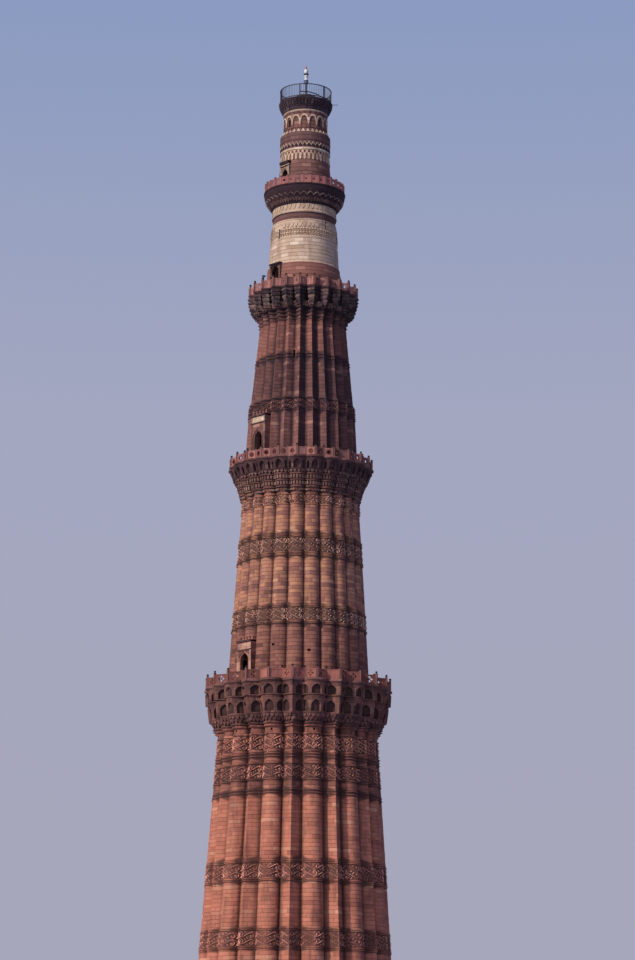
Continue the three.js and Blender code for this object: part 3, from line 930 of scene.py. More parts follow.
# %% Scrollwork
def scrollwork(width, foot, head, bays, rise=0.06):
    """A tile of scrollwork, 1 wide, for a wall stretch of that width."""
    middle, height, bay, steps = (foot + head) / 2, head - foot, width / bays, 6 * bays
    stem = [(width * step / steps, middle + 0.30 * height * sin(pi * bays * step / steps))
            for step in range(steps + 1)]
    parts = [vine(stem, 0.034, rise)]
    for number in range(bays):
        side = -1 if number % 2 else 1
        centre_x, centre_z = bay * (number + 0.5), middle - 0.14 * side * height
        curl = []
        for step in range(8):
            turn, spread = pi * (0.5 - 0.25 * step), 0.30 * min(bay, height) * (1 - 0.09 * step)
            curl.append((centre_x + spread * cos(turn), centre_z + side * spread * sin(turn)))
        parts += [vine(curl, 0.030, rise * 0.9), leaf(centre_x, centre_z, 0.14, 0.09, 0.6, rise)]
        for share, lift, turn in ((0.1, 0.36, 0.9), (0.9, 0.36, -0.9), (0.5, 0.41, 0), (0.5, -0.42, 0)):
            parts.append(leaf(bay * (number + share), middle - lift * side * height, 0.46 * bay,
                              0.17 * height, turn * side, rise))
    return placed(merged(*parts), Matrix.Diagonal((1 / width, 1, 1, 1)))


def carved_belt(name, plan, levels, foot, head, finish, bays=2, count=ribs_round, gaps=()):
    """A belt two rows high, with the middle of its first tile over the door, and gaps in it."""
    width, height = full_turn * between(levels, foot)[0] / count, (head - foot) / 2
    tile = merged(scrollwork(width, foot, foot + height, bays), scrollwork(width, foot + height, head, bays))
    wrapped(name, plan, levels, finish,
            (tile, count, -ribs_round / count / 2, lambda copy: copy not in gaps))


print("carved bands:", sum(high - low > 1 for low, high, *_ in bands_1 + bands_2), "broad ones")

# %% [markdown]
# ## Where the belts go
# The first storey has five belts and the second has two, on the fields that their profiles left
# for them. The third has one, and the fourth a fine one between its windows' feet.

# %% Belts of the shafts
for number, band in enumerate(bands_1, 1):
    if band[1] - band[0] > 1:
        carved_belt(f"belt_1_{number}", alternate, levels_1, *field_of(band, 0.04), carved_red, bays=3)
for number, band in enumerate(bands_2, 1):
    carved_belt(f"belt_2_{number}", lobed, levels_2, *field_of(band, 0.04), carved_brown)
carved_belt("belt_3", star, levels_3, 48.60, 49.26, carved_maroon, bays=3)
carved_belt("belt_4", plain, levels_4, 61.44, 61.98, marble_trim, bays=1, count=72, gaps=(0,))

# %% [markdown]
# ## Corbels of the first balcony
# Two tiers of little pointed niches carry the balcony, the upper one standing out over the lower,
# with a fringe of scallops and three rolls beneath. The backs of the niches belong to one turned
# ring. The fronts are a plate with an arched hole, repeated along the wall.


# %% Niche tiles
def niche_tile(foot, head, front, half_width):
    """A plate, 1 wide, with one pointed hole."""
    height = head - foot
    hole = arch(0.5, half_width, foot + 0.08 * height, foot + 0.5 * height, foot + 0.88 * height, 4)
    return sliced(slab(rectangle(0, 1, foot, head), front, holes=[hole]), 3)


def rib_rows(tile):
    """Rows for the first storey's ribs: three tiles to a round rib and two to a sharp one."""
    return [(tile.copy(), each * ribs_round, -0.5, lambda copy, each=each, odd=odd: copy // each % 2 == odd)
            for each, odd in ((3, 0), (2, 1))]


def fringe_tile(foot, head, front):
    """A hanging petal, 1 wide, with a rounded end."""
    turns = [pi * step / 6 for step in range(7)]
    return slab([(0.5 - 0.44 * cos(turn), head - (head - foot) * sin(turn))
                 for turn in turns], front)


def petal_tile(foot, head, front):
    """A hanging pointed leaf, 1 wide."""
    shoulder = (foot + head) / 2
    return slab([(0.06, head), (0.1, shoulder), (0.5, foot), (0.9, shoulder), (0.94, head)], front)


def block_tile(foot, head, front, gap):
    """A plain block, 1 wide with its gap, for dentils."""
    return slab(rectangle(gap / 2, 1 - gap / 2, foot, head), front)


print("the first storey's ribs carry", ribs_round // 2 * (3 + 2), "niches in a row")

# %% [markdown]
# ## A corbel ring
# Every ring is turned from its profile like a shaft, and has the hollow of the storey below. The
# first one keeps the holes that the builders' scaffold poles left.


# %% First balcony
# a profile point's fourth number darkens the stone: painted shade in the recesses of the niches and under the
# rolls, with soot
def corbel_ring(number, plan, profile, finish):
    ring = turned(hollow(profile, bores[number - 1]), plan)
    return piece(f"corbel_ring_{number}", ring, finish, [f"balcony_{number}_corbels"])


foot, head = span("balcony_1_corbels")
ring_1 = corbel_ring(1, alternate, [
    (5.54, foot, 1), (5.60, 24.73, 1), (5.61, 24.79, 1), (5.60, 24.85, 1), (5.51, 24.88, 1, 0.8),
    (5.46, 25.88, 1, 0.8), (5.52, 25.91, 1), (5.54, 25.96, 1), (5.52, 26.01, 1), (5.44, 26.04, 1, 0.3),
    (5.44, 26.38, 1, 0.2), (5.60, 26.41, 1), (5.65, 26.48, 1), (5.60, 26.55, 1), (5.60, 26.57, 1, 0.4),
    (5.74, 26.60, 1), (5.78, 26.66, 1), (5.66, 26.72, 1, 0.6), (5.82, 27.19, 0.97, 0.6),
    (6.02, 27.22, 0.95), (6.04, 27.27, 0.95), (5.84, 27.30, 0.95, 1.0), (5.97, 28.21, 0.93, 1.2),
    (6.14, 28.24, 0.92), (6.17, 28.32, 0.92), (6.18, 28.40, 0.91), (6.06, 28.45, 0.9, 1.0),
    (6.10, 29.20, 0.87, 1.2), (6.28, 29.23, 0.86), (6.32, 29.29, 0.85), (6.32, head, 0.85)], corbel_stone)
pole_hole = rectangle(-0.07, 0.07, 26.14, 26.30)
cut(ring_1, merged(*(faced(slab(pole_hole, 10, 5.25), 360 * rib / ribs_round)
                     for rib in range(0, ribs_round, 2))))

wrapped("niches_1_upper", alternate, [(6.04, 28.36, 0.91), (6.08, 29.23, 0.86)], corbel_stone,
        *rib_rows(niche_tile(28.42, 29.24, 0.20, 0.37)))
wrapped("niches_1_lower", alternate, [(5.84, 27.27, 0.95), (5.97, 28.25, 0.92)], corbel_stone,
        *rib_rows(niche_tile(27.27, 28.25, 0.16, 0.38)))
wrapped("fringe_1", alternate, [(5.66, 26.72, 1), (5.82, 27.22, 0.96)], lip_stone,
        (petal_tile(26.96, 27.22, 0.15), 192),
        (petal_tile(26.74, 27.02, 0.10), 192, ribs_round / 384 - 0.5))
carved_belt("belt_corbels_1", alternate, [(5.52, 24.88, 1), (5.47, 25.88, 1)], 24.92, 25.84,
            carved_red, bays=3)

# %% [markdown]
# ## Corbels of the second balcony
# One tier of tall niches leans out over two fine rows of dentils and a row of big beads. Each
# lobe of the wall carries one niche, and the gap over a valley looks like a narrow one.

# %% Second balcony
foot, head = span("balcony_2_corbels")
corbel_ring(2, lobed, [
    (4.09, foot, 1), (4.15, 41.73, 1), (4.16, 41.78, 1), (4.10, 41.82, 1, 0.6), (4.06, 42.40, 1, 0.6),
    (4.12, 42.44, 1), (4.13, 42.50, 1), (4.06, 42.56, 1, 0.4), (4.10, 42.62, 1, 0.6), (4.13, 42.88, 1, 0.6),
    (4.25, 42.91, 1), (4.26, 42.99, 1), (4.19, 43.02, 0.98, 0.6), (4.24, 43.32, 0.95, 0.6),
    (4.37, 43.35, 0.93), (4.38, 43.40, 0.92), (4.32, 43.43, 0.9, 0.6), (4.37, 43.74, 0.88, 0.6),
    (4.50, 43.77, 0.86), (4.52, 43.84, 0.86), (4.46, 43.87, 0.84, 0.6), (4.52, 44.08, 0.82, 0.6),
    (4.52, 44.12, 0.8, 0.4), (4.75, 44.74, 0.7, 0.6), (4.95, 44.77, 0.7), (4.97, head, 0.7)], dark_corbel)

niche_heads = [arch(middle, half_width, 44.12, 44.42, apex, 3)
               for middle, half_width, apex in ((0.22, 0.05, 44.66), (0.5, 0.13, 44.72), (0.78, 0.05, 44.66))]
tall_niche = sliced(slab(rectangle(0.07, 0.93, 44.08, 44.78), 0.19, holes=niche_heads), 6)
bead = slab([(0.20, 42.75), (0.28, 42.68), (0.72, 42.68), (0.80, 42.75), (0.72, 42.82), (0.28, 42.82)], 0.10)
wrapped("niches_2", lobed, [(4.52, 44.08, 0.8), (4.77, 44.78, 0.7)], black_stone, (tall_niche, 24))
wrapped("leaves_2", lobed, [(4.44, 43.84, 0.86), (4.50, 44.08, 0.82)], worn_relief,
        (petal_tile(43.86, 44.12, 0.14), 144))
wrapped("dentils_2", lobed,
        [(4.19, 43.0, 0.98), (4.24, 43.34, 0.95), (4.31, 43.36, 0.92), (4.37, 43.78, 0.87)], worn_relief,
        (block_tile(43.08, 43.30, 0.09, 0.45), 168), (block_tile(43.48, 43.72, 0.09, 0.45), 168))
wrapped("beads_2", lobed, [(4.10, 42.60, 1), (4.14, 42.90, 1)], worn_relief, (sliced(bead, 4), 48))
carved_belt("belt_corbels_2", lobed, [(4.11, 41.82, 1), (4.07, 42.42, 1)], 41.86, 42.38, carved_brown)

# %% [markdown]
# ## Corbels of the third balcony
# The wall below is a star in plan, and the corbels keep its points. A stack of carved blocks leans
# out from each point, with a dark recess between two stacks, over leaves and three thin mouldings.

# %% Third balcony
foot, head = span("balcony_3_corbels")
corbel_ring(3, star, [
    (3.04, foot, 1), (3.12, 55.13, 1), (3.14, 55.19, 1), (3.07, 55.23, 1, 0.4), (3.07, 55.36, 1, 0.4),
    (3.16, 55.39, 1), (3.18, 55.45, 1), (3.11, 55.50, 1, 0.4), (3.12, 55.62, 1, 0.4), (3.24, 55.66, 1),
    (3.26, 55.73, 1), (3.20, 55.77, 1, 0.5), (3.24, 55.88, 1, 0.5), (3.42, 55.92, 1), (3.44, 55.98, 1),
    (3.34, 56.01, 0.98, 0.6), (3.44, 56.26, 0.96, 0.6), (3.60, 56.29, 0.95), (3.62, 56.34, 0.95),
    (3.48, 56.37, 0.95, 1.0), (3.64, 57.12, 0.9, 1.0), (3.82, 57.15, 0.9), (3.84, head, 0.9)], black_corbel)
bracket_blocks = ((0.32, 57.02, 57.14, 0.20), (0.27, 56.91, 57.03, 0.165), (0.30, 56.77, 56.92, 0.20),
                  (0.25, 56.66, 56.78, 0.155), (0.27, 56.50, 56.67, 0.19), (0.21, 56.36, 56.51, 0.145),
                  (0.24, 56.22, 56.37, 0.18), (0.17, 56.04, 56.23, 0.15))
wrapped("leaves_3", star, [(3.32, 55.98, 0.98), (3.44, 56.30, 0.95)], worn_relief,
        (petal_tile(56.12, 56.32, 0.14), 120), (petal_tile(55.98, 56.16, 0.09), 120))
wrapped("brackets_3", star, [(3.32, 56.0, 0.97), (3.48, 56.34, 0.95), (3.64, 57.16, 0.9)], bracket_stone,
        *((sliced(slab(rectangle(0.5 - half, 0.5 + half, low, high), out), 2), 24)
          for half, low, high, out in bracket_blocks))

# %% [markdown]
# ## The fourth balcony's bell
# The fourth balcony rests on a smooth, dark bell. A line of pale zigzags runs round it, and a
# fringe of teeth hides its joint with the marble, whose last course is carved with hanging buds.


# %% Fourth balcony
def peak(low, shoulder, top, at, half_width, rise):
    """One tooth of a zigzag line, 1 wide, with its shoulders at a share of the width."""
    return vine([(0, low), (at, shoulder), (0.5, top), (1 - at, shoulder), (1, low)], half_width, rise)


foot, head = span("balcony_4_corbels")
corbels_4 = [
    (2.24, foot), (2.32, 63.83), (2.34, 63.88), (2.32, 63.93, 0, 0.4), (2.40, 64.10, 0, 0.4), (2.52, 64.13),
    (2.56, 64.20), (2.61, 64.27), (2.66, 64.34), (2.71, 64.42), (2.76, 64.52), (2.80, 64.62),
    (2.84, 64.74), (2.86, 64.86), (2.86, head)]
corbel_ring(4, plain, corbels_4, black_stone)
wrapped("teeth_4", plain, corbels_4, worn_relief, (fringe_tile(63.93, 64.12, 0.08), 72))
wrapped("zigzag_4", plain, corbels_4, door_stone, (peak(64.30, 64.42, 64.49, 0.2, 0.032, 0.045), 36))
wrapped("scallops_4", plain, corbels_4, worn_relief, (peak(64.04, 64.15, 64.20, 0.2, 0.03, 0.03), 36))
wrapped("buds_4", plain, levels_4, marble_trim, (fringe_tile(63.42, 63.78, 0.04), 44),
        (fringe_tile(62.06, 62.34, 0.04), 48, -0.5, lambda copy: copy % 12 not in (0, 1, 11)))

# %% [markdown]
# ## Trim of the top storey
# The top storey is plain brown stone, dressed with marble: pendants and studs under a wide ring,
# teeth on the ring, a line of pointed merlons over it, and the arches of the arcade.


# %% Top storey
def ellipse(x, z, half_width, half_height, first, last, sides):
    """Points on an ellipse, from one of its steps to another."""
    return [(x + half_width * cos(full_turn * step / sides),
             z + half_height * sin(full_turn * step / sides)) for step in range(first, last)]


pendant = slab([(0.2, 67.70), (0.26, 67.32), (0.5, 67.22), (0.74, 67.32), (0.8, 67.70)], 0.04)
studs = slab(rectangle(0, 1, 67.72, 67.97), 0.03, holes=[ellipse(0.5, 67.85, 0.32, 0.095, 0, 8, 8)])
merlon = slab([(0.08, 69.34), (0.92, 69.34), (0.5, 69.60)], 0.06)
wrapped("trim_5", plain, levels_5, marble_trim, (pendant, 36), (studs, 36), (merlon, 32))
wrapped("teeth_5", plain, levels_5, marble_trim, (peak(68.34, 68.45, 68.58, 0.25, 0.065, 0.025), 36))
wrapped("dark_teeth_5", plain, levels_5, black_stone,
        (slab([(0.1, 68.30), (0.5, 68.48), (0.9, 68.30), (0.5, 68.20)], 0.03), 36))
wrapped("stud_holes_5", plain, levels_5, dark_red, (slab(rectangle(0, 1, 67.74, 67.95), 0.008), 36))

bays = 16
bay_start = -ribs_round / bays / 2
spandrel = slab(rectangle(0, 1, 69.72, 70.78), 0.05, holes=[arch(0.5, 0.34, 69.74, 70.34, 70.66)])
half_ring = ellipse(0.5, 70.36, 0.47, 0.37, 0, 9, 16) + ellipse(0.5, 70.36, 0.33, 0.24, 0, 9, 16)[::-1]
drop = slab([(-0.15, 70.42), (-0.03, 69.90), (0.03, 69.90), (0.15, 70.42)], 0.075)
wrapped("arcade_5", plain, levels_5, brown_stone, (sliced(spandrel, 4), bays, bay_start))
wrapped("arches_5", plain, levels_5, marble_trim,
        (merged(sliced(slab(half_ring, 0.08), 4), drop), bays, bay_start))
wrapped("dots_5", plain, levels_5, black_stone, (slab(rectangle(0.3, 0.7, 70.84, 70.92), 0.015), 24))

# %% [markdown]
# ## Crown cornice
# Three rows of dentils step out under the roof slab. All of it is stained nearly black.

# %% Cornice
foot, head = span("crown_cornice")
cornice = [(1.60, foot), (1.64, 71.14), (1.66, 71.20), (1.68, 71.28), (1.68, 71.42), (1.77, 71.43),
           (1.78, 71.46), (1.75, 71.47), (1.75, 71.58), (1.84, 71.59), (1.85, 71.62), (1.82, 71.63),
           (1.82, 71.74), (1.90, 71.75), (1.92, head)]
piece("cornice_ring", turned(hollow(cornice, bores[4])), black_stone, ["crown_cornice"])
wrapped("cornice_dentils", plain, cornice, black_stone,
        *((block_tile(foot, foot + 0.10, 0.07, 0.4), 48) for foot in (71.32, 71.475, 71.635)))

# %% [markdown]
# ## Floor slabs
# Each slab closes the hollow below it and runs out past the corbels as the balcony's walk. Its
# edge follows the ribs of the storey below, and has a thin rounded lip.

# %% Slabs
for node, plan, radius, depth, finish in (
        ("balcony_1_deck", alternate, 6.42, 0.85, lip_stone),
        ("balcony_2_deck", lobed, 5.06, 0.70, lip_stone),
        ("balcony_3_deck", star, 3.93, 0.90, black_stone),
        ("balcony_4_deck", plain, 2.90, 0, black_stone),
        ("crown_deck", plain, 1.92, 0, black_stone)):
    foot, head = span(node)
    rim = [(0.06, foot), (0, foot + 0.04), (0, head - 0.05), (0.04, head - 0.01), (0.07, head)]
    profile = [(0, foot), *((radius - inwards, height, depth) for inwards, height in rim), (0, head)]
    piece(node + "_slab", turned(profile, plan, plan.places(plan.round_steps - 2)), finish, [node])

# %% [markdown]
# ## Balustrades
# Slabs of stone stand between square posts, two to a rib, so the line of the balustrade goes in
# and out with the ribs. Each balcony has its own piercing: four small lozenges, one round hole in
# a ring, one upright lozenge, or one small square. A few slabs were replaced by plain ones, and
# the knobs on the posts are black with age.

# %% Panels, posts and knobs
post_half_width = 0.07
panel_half = 0.05


def disc(x, z, radius):
    return ellipse(x, z, radius, radius, 0, 10, 10)


def panel(width, height, holes):
    """A pierced slab with a raised border, in metres from its lower left corner."""
    border = rectangle(0.06, width - 0.06, 0.06, height - 0.07)
    faces = (slab(rectangle(0, width, 0, height), face + 0.03, face, [border])
             for face in (-panel_half, panel_half - 0.03))
    return merged(slab(rectangle(0, width, 0, height), panel_half - 0.02, 0.02 - panel_half, holes), *faces)


def post(height):
    return faced(turned([(0, 0), (0.1, 0), (0.1, height - 0.05), (0.115, height - 0.04), (0.115, height),
                         (0, height)], places=few_places(4)), 45)


def knob(foot, head):
    rise = head - foot
    return turned([(0, foot - 0.02), (0.08, foot - 0.02), (0.045, foot + 0.15 * rise),
                   (0.085, foot + 0.45 * rise), (0.075, foot + 0.8 * rise), (0, head)], places=few_places(6))


print("panels are", 2 * panel_half, "m thick")

# %% [markdown]
# ## A balustrade
# Its posts stand in turn on a rib and over a valley, which lies further in, and a panel fills each
# gap between two posts. One knob in seven is missing.


# %% Posts and panels
post_share = 0.35  # of the knob's height, by which a post stands over its panels
hole_height = 0.48  # of the panel's height, for the middle of a round hole


def balustrade(number, count, radius, valley, height, top, holes, plain_panels, finish):
    post_head = height + post_share * (top - height)
    turns = [full_turn * index / count for index in range(count)]
    corners = []
    for index, turn in enumerate(turns):
        reach = (radius - panel_half) * (valley if index % 2 else 1)
        corners.append(Vector((reach * sin(turn), -reach * cos(turn), floors[number])))
    stone, posts, knobs, rings = [], [], [], []
    for index, (start, end) in enumerate(zip(corners, corners[1:] + corners[:1])):
        along = end - start
        width = along.length - 2 * post_half_width
        pierced = index not in plain_panels
        spot = Matrix.Translation(start + along.normalized() * post_half_width)
        spot = spot @ Matrix.Rotation(atan2(along.y, along.x), 4, "Z")
        stone.append(placed(panel(width, height, holes(width / 2, height) if pierced else []), spot))
        if pierced and number == 2:
            outer, inner = (disc(width / 2, height * hole_height, size) for size in (0.18, 0.11))
            rings.append(placed(slab(outer, panel_half - 0.005, 0, [inner]), spot))
        stand = Matrix.Translation(start) @ Matrix.Rotation(turns[index], 4, "Z")
        posts.append(placed(post(post_head), stand))
        if index % 7 != 3:
            knobs.append(placed(knob(post_head, top), stand))
    piece(f"balustrade_{number}", merged(*stone), finish, [f"balcony_{number}_balustrade"])
    piece(f"posts_{number}", merged(*posts), finish if number == 4 else post_stone)
    piece(f"knobs_{number}", merged(*knobs), knob_stone)
    if rings:
        piece(f"rings_{number}", merged(*rings), dark_red, slot="pink_sandstone")


print("posts are", 2 * post_half_width, "m wide between two panels")

# %% [markdown]
# ## The four balustrades
# Each piercing is an outline, or four, round the middle of a panel.


# %% Piercings
def lozenge(x, z, half_width, half_height):
    return [(x - half_width, z), (x, z - half_height), (x + half_width, z), (x, z + half_height)]


def four_lozenges(middle, height):
    return [lozenge(middle + x, height / 2 + z, 0.10, 0.10)
            for x, z in ((-0.14, 0), (0.14, 0), (0, -0.14), (0, 0.14))]


def round_hole(middle, height):
    return [disc(middle, height * hole_height, 0.12)]


def tall_lozenge(middle, height):
    return [lozenge(middle, height / 2, 0.09, 0.13)]


def square_hole(middle, height):
    return [rectangle(middle - 0.08, middle + 0.08, 0.20, 0.36)]


balustrade(1, count=48, radius=6.32, valley=0.908, height=0.62, top=0.88, holes=four_lozenges,
           plain_panels={3, 4, 9, 14, 23, 31, 40}, finish=lowest_panels)
balustrade(2, count=48, radius=4.96, valley=0.952, height=0.54, top=0.76, holes=round_hole,
           plain_panels={6, 11, 19, 27, 37}, finish=lower_panels)
balustrade(3, count=48, radius=3.84, valley=0.905, height=0.54, top=0.78, holes=tall_lozenge,
           plain_panels={2, 4, 7, 15, 22, 29, 33, 41}, finish=lower_panels)
balustrade(4, count=32, radius=2.82, valley=1.0, height=0.54, top=0.66, holes=square_hole,
           plain_panels={}, finish=upper_panels)

# %% [markdown]
# ## Door surrounds
# Each door has a stone frame that stands out from the ribs: a pointed arch in a carved border, a
# pale lintel panel over it, a thin slab as a rain hood, and on the lower storeys a small parapet.

# %% Frames
# half the width, the height, how far the front and the back stand from the axis, the heights of
# the hood and of the parapet, and where the lintel starts between the doorway's apex and the hood
surrounds = [(1.15, 3.90, 7.45, 5.90, 0.22, 0.42, 0.32), (0.70, 3.20, 5.00, 4.20, 0.12, 0.30, 0.32),
             (0.75, 3.62, 4.10, 3.20, 0.12, 0.32, 0.58), (0.54, 2.06, 2.78, 2.35, 0.12, 0, 0.32),
             (0.46, 2.05, 2.02, 1.62, 0.12, 0, 0.55)]
strips_across = ((-0.88, -0.80), (-1.0, -0.93), (0.80, 0.88), (0.93, 1.0))  # in half widths
strip_rise, ledge_rise, lintel_rise, seated = 0.04, 0.06, 0.02, 0.02
overlap = 0.02
merlon_count = 5
walls = [red_stone, buff_stone, maroon_stone, marble_stone, brown_stone]


def door_surround(number, finish, lintel_finish, trim, trim_slot="marble"):
    half_width, height, front, back, hood, parapet, lintel_share = surrounds[number - 1]
    floor, (door_half, springing, rise) = floors[number - 1], doors[number - 1]
    hood_head = floor + height - parapet
    hood_foot, apex, face = hood_head - hood, floor + springing + rise, front - hood
    slot = usual_slot[walls[number - 1].name]

    def across(foot, head, out, inwards, share=1):
        return slab(rectangle(-share * half_width, share * half_width, foot, head), out, inwards)

    opening = door_outline(number)
    frame_top = hood_head - overlap
    parts = [slab([(-half_width, floor), opening[0], *reversed(opening[2:]), opening[1], (half_width, floor),
                   (half_width, frame_top), (-half_width, frame_top)], face, back)]
    strips = [slab(rectangle(left * half_width, right * half_width, floor, hood_foot - 0.06),
                   face + strip_rise, face - seated) for left, right in strips_across]
    for reach, width in ((0.06, 0.03), (0.15, 0.02)):
        first, *rest = arch(0, door_half + reach, floor, floor + springing, apex + 1.2 * reach)
        strips.append(placed(vine([*rest, first], width, 0.045), Matrix.Translation((0, -face, 0))))
    if parapet:
        pitch, base = 2 * half_width / (2 * merlon_count - 1), hood_head + parapet / 3
        out, shoulder = front - 2 * hood, hood_head + parapet * 0.8
        parts.append(across(frame_top, base, out, back))
        for left in (2 * merlon * pitch - half_width for merlon in range(merlon_count)):
            parts.append(slab([(left, base), (left + pitch, base), (left + pitch, shoulder),
                               (left + pitch / 2, hood_head + parapet), (left, shoulder)], out, back))
    piece(f"surround_{number}", merged(*parts), finish, [f"storey_{number}_door_surround"], slot)
    lintel_foot = apex + lintel_share * (hood_foot - apex)
    underside = hood_foot - (0.07 if number == 5 else 0)  # the top door has a deeper hood
    # the hood and the ledge under the lintel are blackened stone, and their black also paints the shade under
    # the hood and the dark shadow line under the lintel
    shade = merged(across(underside, hood_head, front, back),
                   across(lintel_foot - 0.07, lintel_foot, face + ledge_rise, face - seated))
    piece(f"hood_{number}", shade, black_stone, slot=slot)
    lintel = across(lintel_foot, underside - 0.03, face + lintel_rise, face - seated, share=0.94)
    piece(f"lintel_panel_{number}", lintel, lintel_finish, slot=trim_slot)
    piece(f"door_trim_{number}", merged(*strips), trim, slot=trim_slot)


door_surround(1, red_stone, carved_red, carved_red, "red_sandstone")
door_surround(2, buff_stone, carved_brown, carved_brown)
door_surround(3, maroon_stone, marble_trim, worn_relief)
door_surround(4, worn_relief, worn_relief, worn_relief)
door_surround(5, door_stone, marble_trim, marble_trim)

# %% [markdown]
# ## Plinth
# The tower's foot is a round plinth of big blocks with a worn, rounded edge.

# %% Plinth
foot, head = span("plinth")
plinth = [(0, foot), (7.60, foot), (7.60, head - 0.22), (7.57, head - 0.20), (7.57, head - 0.18),
          (7.60, head - 0.16), (7.60, head - 0.05), (7.56, head), (0, head)]
piece("plinth_blocks", turned(plinth), red_stone, ["plinth"])

# %% [markdown]
# ## The roof
# A low stump is what is left of a cupola. Round it goes an iron railing with six posts and thin
# upright bars, one of its rails has come loose, and a drain rod sticks out over the edge.

# %% Stump, rod and railing
stump = turned([(0, roof), (0.83, roof), (0.83, roof + 0.18), (0.80, roof + 0.20), (0.80, roof + 0.38),
                (0.74, roof + 0.40), (0.70, roof + 0.60), (0.62, roof + 0.62), (0, roof + 0.62)],
               places=plain.places(sharp_steps=2))
for point in stump.verts:
    if 0.5 < hypot(point.co.x, point.co.y) < 0.82:
        point.co.z += chance.uniform(-0.03, 0.0)
piece("stump", stump, black_stone, ["crown_stump"])

rail_radius, rail_head, rail_low, bar = 1.83, roof + 0.95, roof + 0.10, 0.05
post_half, thin_half, rail_posts, gaps = 0.042, 0.009, 6, 14
inner, outer = rail_radius - bar / 2, rail_radius + bar / 2
rails = [turned([(inner, top - bar), (outer, top - bar), (outer, top), (inner, top)],
                places=plain.places(sharp_steps=3)) for top in (rail_low, rail_head)]
for angle in (34.5 + 360 / rail_posts * number for number in range(rail_posts)):
    stand = slab(rectangle(-post_half, post_half, roof, rail_head), rail_radius + 0.01, rail_radius - 0.06)
    rails.append(faced(stand, angle))
    for gap in range(1, gaps):
        thin = slab(rectangle(-thin_half, thin_half, rail_low, rail_head - bar), rail_radius + thin_half,
                    rail_radius - thin_half)
        rails.append(faced(thin, angle + 360 / rail_posts * gap / gaps))
loose_rail = vine([(2.4, roof + 0.38), (3.8, roof + 0.34), (5.2, roof + 0.22), (7.1, roof + 0.06)],
                  0.045, 0.05)
rails.append(bent(loose_rail, plain, [(rail_radius - 0.07, roof), (rail_radius - 0.07, roof + 1)]))
piece("railing", merged(*rails), dark_iron, ["crown_railing"])

rod = turned([(0, 0), (0.02, 0), (0.02, 1.07), (0.03, 1.07), (0.03, 1.09), (0, 1.09)], places=few_places(6))
lie = Matrix.Rotation(radians(138), 4, "Z") @ Matrix.Translation((0, -1.20, roof + 0.02))
piece("drain_rod", placed(rod, lie @ Matrix.Rotation(pi / 2, 4, "X")), dark_iron, ["crown_rod"])

# %% [markdown]
# ## Mast, lamp and floodlight
# On the stump stands a mast with a lamp of stacked white and black parts and a red tip. A small
# blue floodlight stands on the third balcony.


# %% Mast and lamp
def lamp_part(name, points, finish, nodes=()):
    profile = [(0, points[0][1]), *points, (0, points[-1][1])]
    piece(name, turned(profile, places=few_places(12)), finish, nodes)


foot = roof + 0.62
lamp_part("mast", [(0.13, foot), (0.13, foot + 0.05), (0.08, foot + 0.07), (0.08, 73.53), (0.12, 73.55),
                   (0.165, 73.60), (0.165, 73.82), (0.12, 73.85)], grey_paint, ["crown_mast"])
lamp_part("lamp_lower", [(0.15, 73.85), (0.10, 73.95), (0.11, 74.02), (0.17, 74.12), (0.14, 74.20),
                         (0.06, 74.22)], white_paint, ["crown_lamp"])
lamp_part("lamp_collar", [(0.07, 74.20), (0.18, 74.24), (0.18, 74.32), (0.07, 74.36)], black_paint)
lamp_part("lamp_upper", [(0.08, 74.34), (0.14, 74.42), (0.16, 74.52), (0.12, 74.64), (0.05, 74.68)],
          white_paint)
lamp_part("lamp_tip", [(0.05, 74.66), (0.07, 74.74), (0.055, 74.84), (0.03, 74.92), (0.01, 75.00)],
          red_paint)

foot, reach = floors[3], 3.16
head_outline = [(-0.11, foot + 1.15), (0.11, foot + 1.15), (0.11, foot + 1.21), (0.08, foot + 1.24),
                (-0.08, foot + 1.24), (-0.11, foot + 1.21)]
light = merged(*(slab(outline, reach + half, reach - half) for outline, half in (
    (rectangle(-0.025, 0.025, foot, foot + 1.10), 0.025), (rectangle(-0.07, 0.07, foot, foot + 0.02), 0.07),
    (head_outline, 0.11))))
piece("floodlight", faced(light, -13.5), blue_paint, ["balcony_3_floodlight"])

# %% [markdown]
# ## Floor
# The tower stands on a plain pale floor. So bright a floor would light the balconies from below,
# where they are dark, so it is kept from throwing light back.

# %% The stage
floor_reach = 900
floor = bmesh.new()
bmesh.ops.create_grid(floor, x_segments=8, y_segments=8, size=floor_reach)
floor_mesh = bpy.data.meshes.new("floor")
floor.to_mesh(floor_mesh)
floor.free()
ground = linked("floor", floor_mesh)
pale = Finish("pale_floor", None, 0.95)
pale.show("Base Color", pale.mix(pale.noise(6.0, 3.0), "c4c4c8", "ccccce"))
floor_mesh.materials.append(pale.material)
ground.visible_diffuse = False
print("the floor reaches", floor_reach, "m each way")

# %% [markdown]
# ## Light
# The light is soft and comes from the left, as hazy sunshine does. The camera sees a pale sky that
# is deeper blue higher up. The stone is lit by a plain blue one instead, so the look of the sky
# and the strength of its light can be chosen apart.

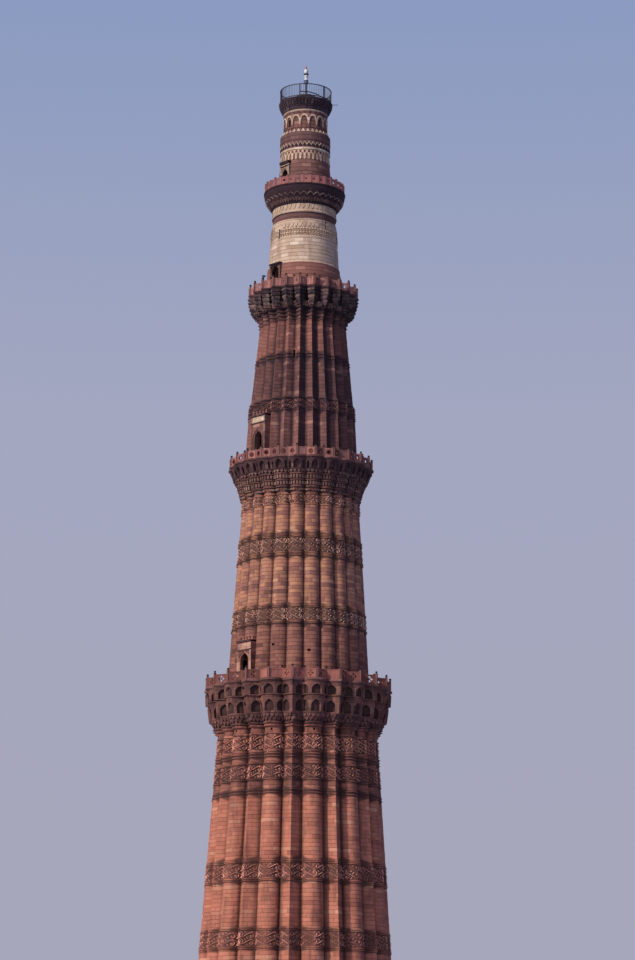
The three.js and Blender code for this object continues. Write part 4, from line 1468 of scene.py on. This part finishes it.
# %% Sky and suns
bpy.context.scene.world = bpy.data.worlds.new("sky")
bpy.context.scene.view_settings.view_transform = "Standard"
sky = Nodes(bpy.context.scene.world)
direction = sky.node("ShaderNodeTexCoord", {}, {}, "Generated")
upward = sky.node("ShaderNodeSeparateXYZ", {}, {0: direction}, "Z")
shades = sky.node("ShaderNodeValToRGB", {"stops": [
    (0.10, "a6a7bb"), (0.25, "a3a7c0"), (0.39, "8b9bc1")]}, {0: upward})
backdrop = sky.node("ShaderNodeBackground", {}, {"Color": shades})
shine = sky.node("ShaderNodeBackground", {}, {"Color": "8c96cd", "Strength": 0.55})
seen = sky.node("ShaderNodeLightPath", {}, {}, "Is Camera Ray")
sky.end("ShaderNodeOutputWorld", sky.node("ShaderNodeMixShader", {}, {"Fac": seen, 1: shine, 2: backdrop}))


def sunlight(name, azimuth, height, strength, softness, colour):
    """A distant light that comes from an azimuth, counted from the door side, at a height."""
    lamp = bpy.data.lights.new(name, "SUN")
    lamp.energy, lamp.angle, lamp.color = strength, radians(softness), colour
    turn, lift = radians(azimuth), radians(height)
    source = Vector((sin(turn) * cos(lift), -cos(turn) * cos(lift), sin(lift)))
    linked(name, lamp).rotation_euler = source.to_track_quat("Z", "Y").to_euler()
    print(name, "stands", height, "degrees high")


sunlight("sun", azimuth=-1, height=30, strength=3.0, softness=4, colour=(1.0, 0.91, 0.81))
sunlight("haze", azimuth=24, height=16, strength=0.95, softness=100, colour=(0.94, 0.91, 1.0))
sunlight("back_light", azimuth=225, height=35, strength=1.1, softness=30, colour=(0.92, 0.95, 1.0))

# %% [markdown]
# ## Camera
# It stands where the photograph was taken from, 184 m from the axis on the real ground, and looks
# up at 13 degrees.

# %% Camera
distance, eye_height, azimuth = 183.5, 1.6, 48.5
pitch, yaw, roll = 13.11, -0.36, 0.66
focal_pixels, image_height, sensor = 2712, 960, 36

lens = bpy.data.cameras.new("camera")
lens.sensor_width = sensor
lens.lens = focal_pixels / image_height * sensor
lens.clip_end = 3000
camera = linked("camera", lens)
turn = radians(azimuth)
camera.location = Vector((distance * sin(turn), -distance * cos(turn), eye_height)) * scale
aim = Matrix.Rotation(turn, 3, "Z")
for angle, axis in ((yaw, "Z"), (90 + pitch, "X"), (roll, "Z")):
    aim = aim @ Matrix.Rotation(radians(angle), 3, axis)
camera.rotation_euler = aim.to_euler()
bpy.context.scene.camera = camera
print("camera at", [round(value, 2) for value in camera.location])
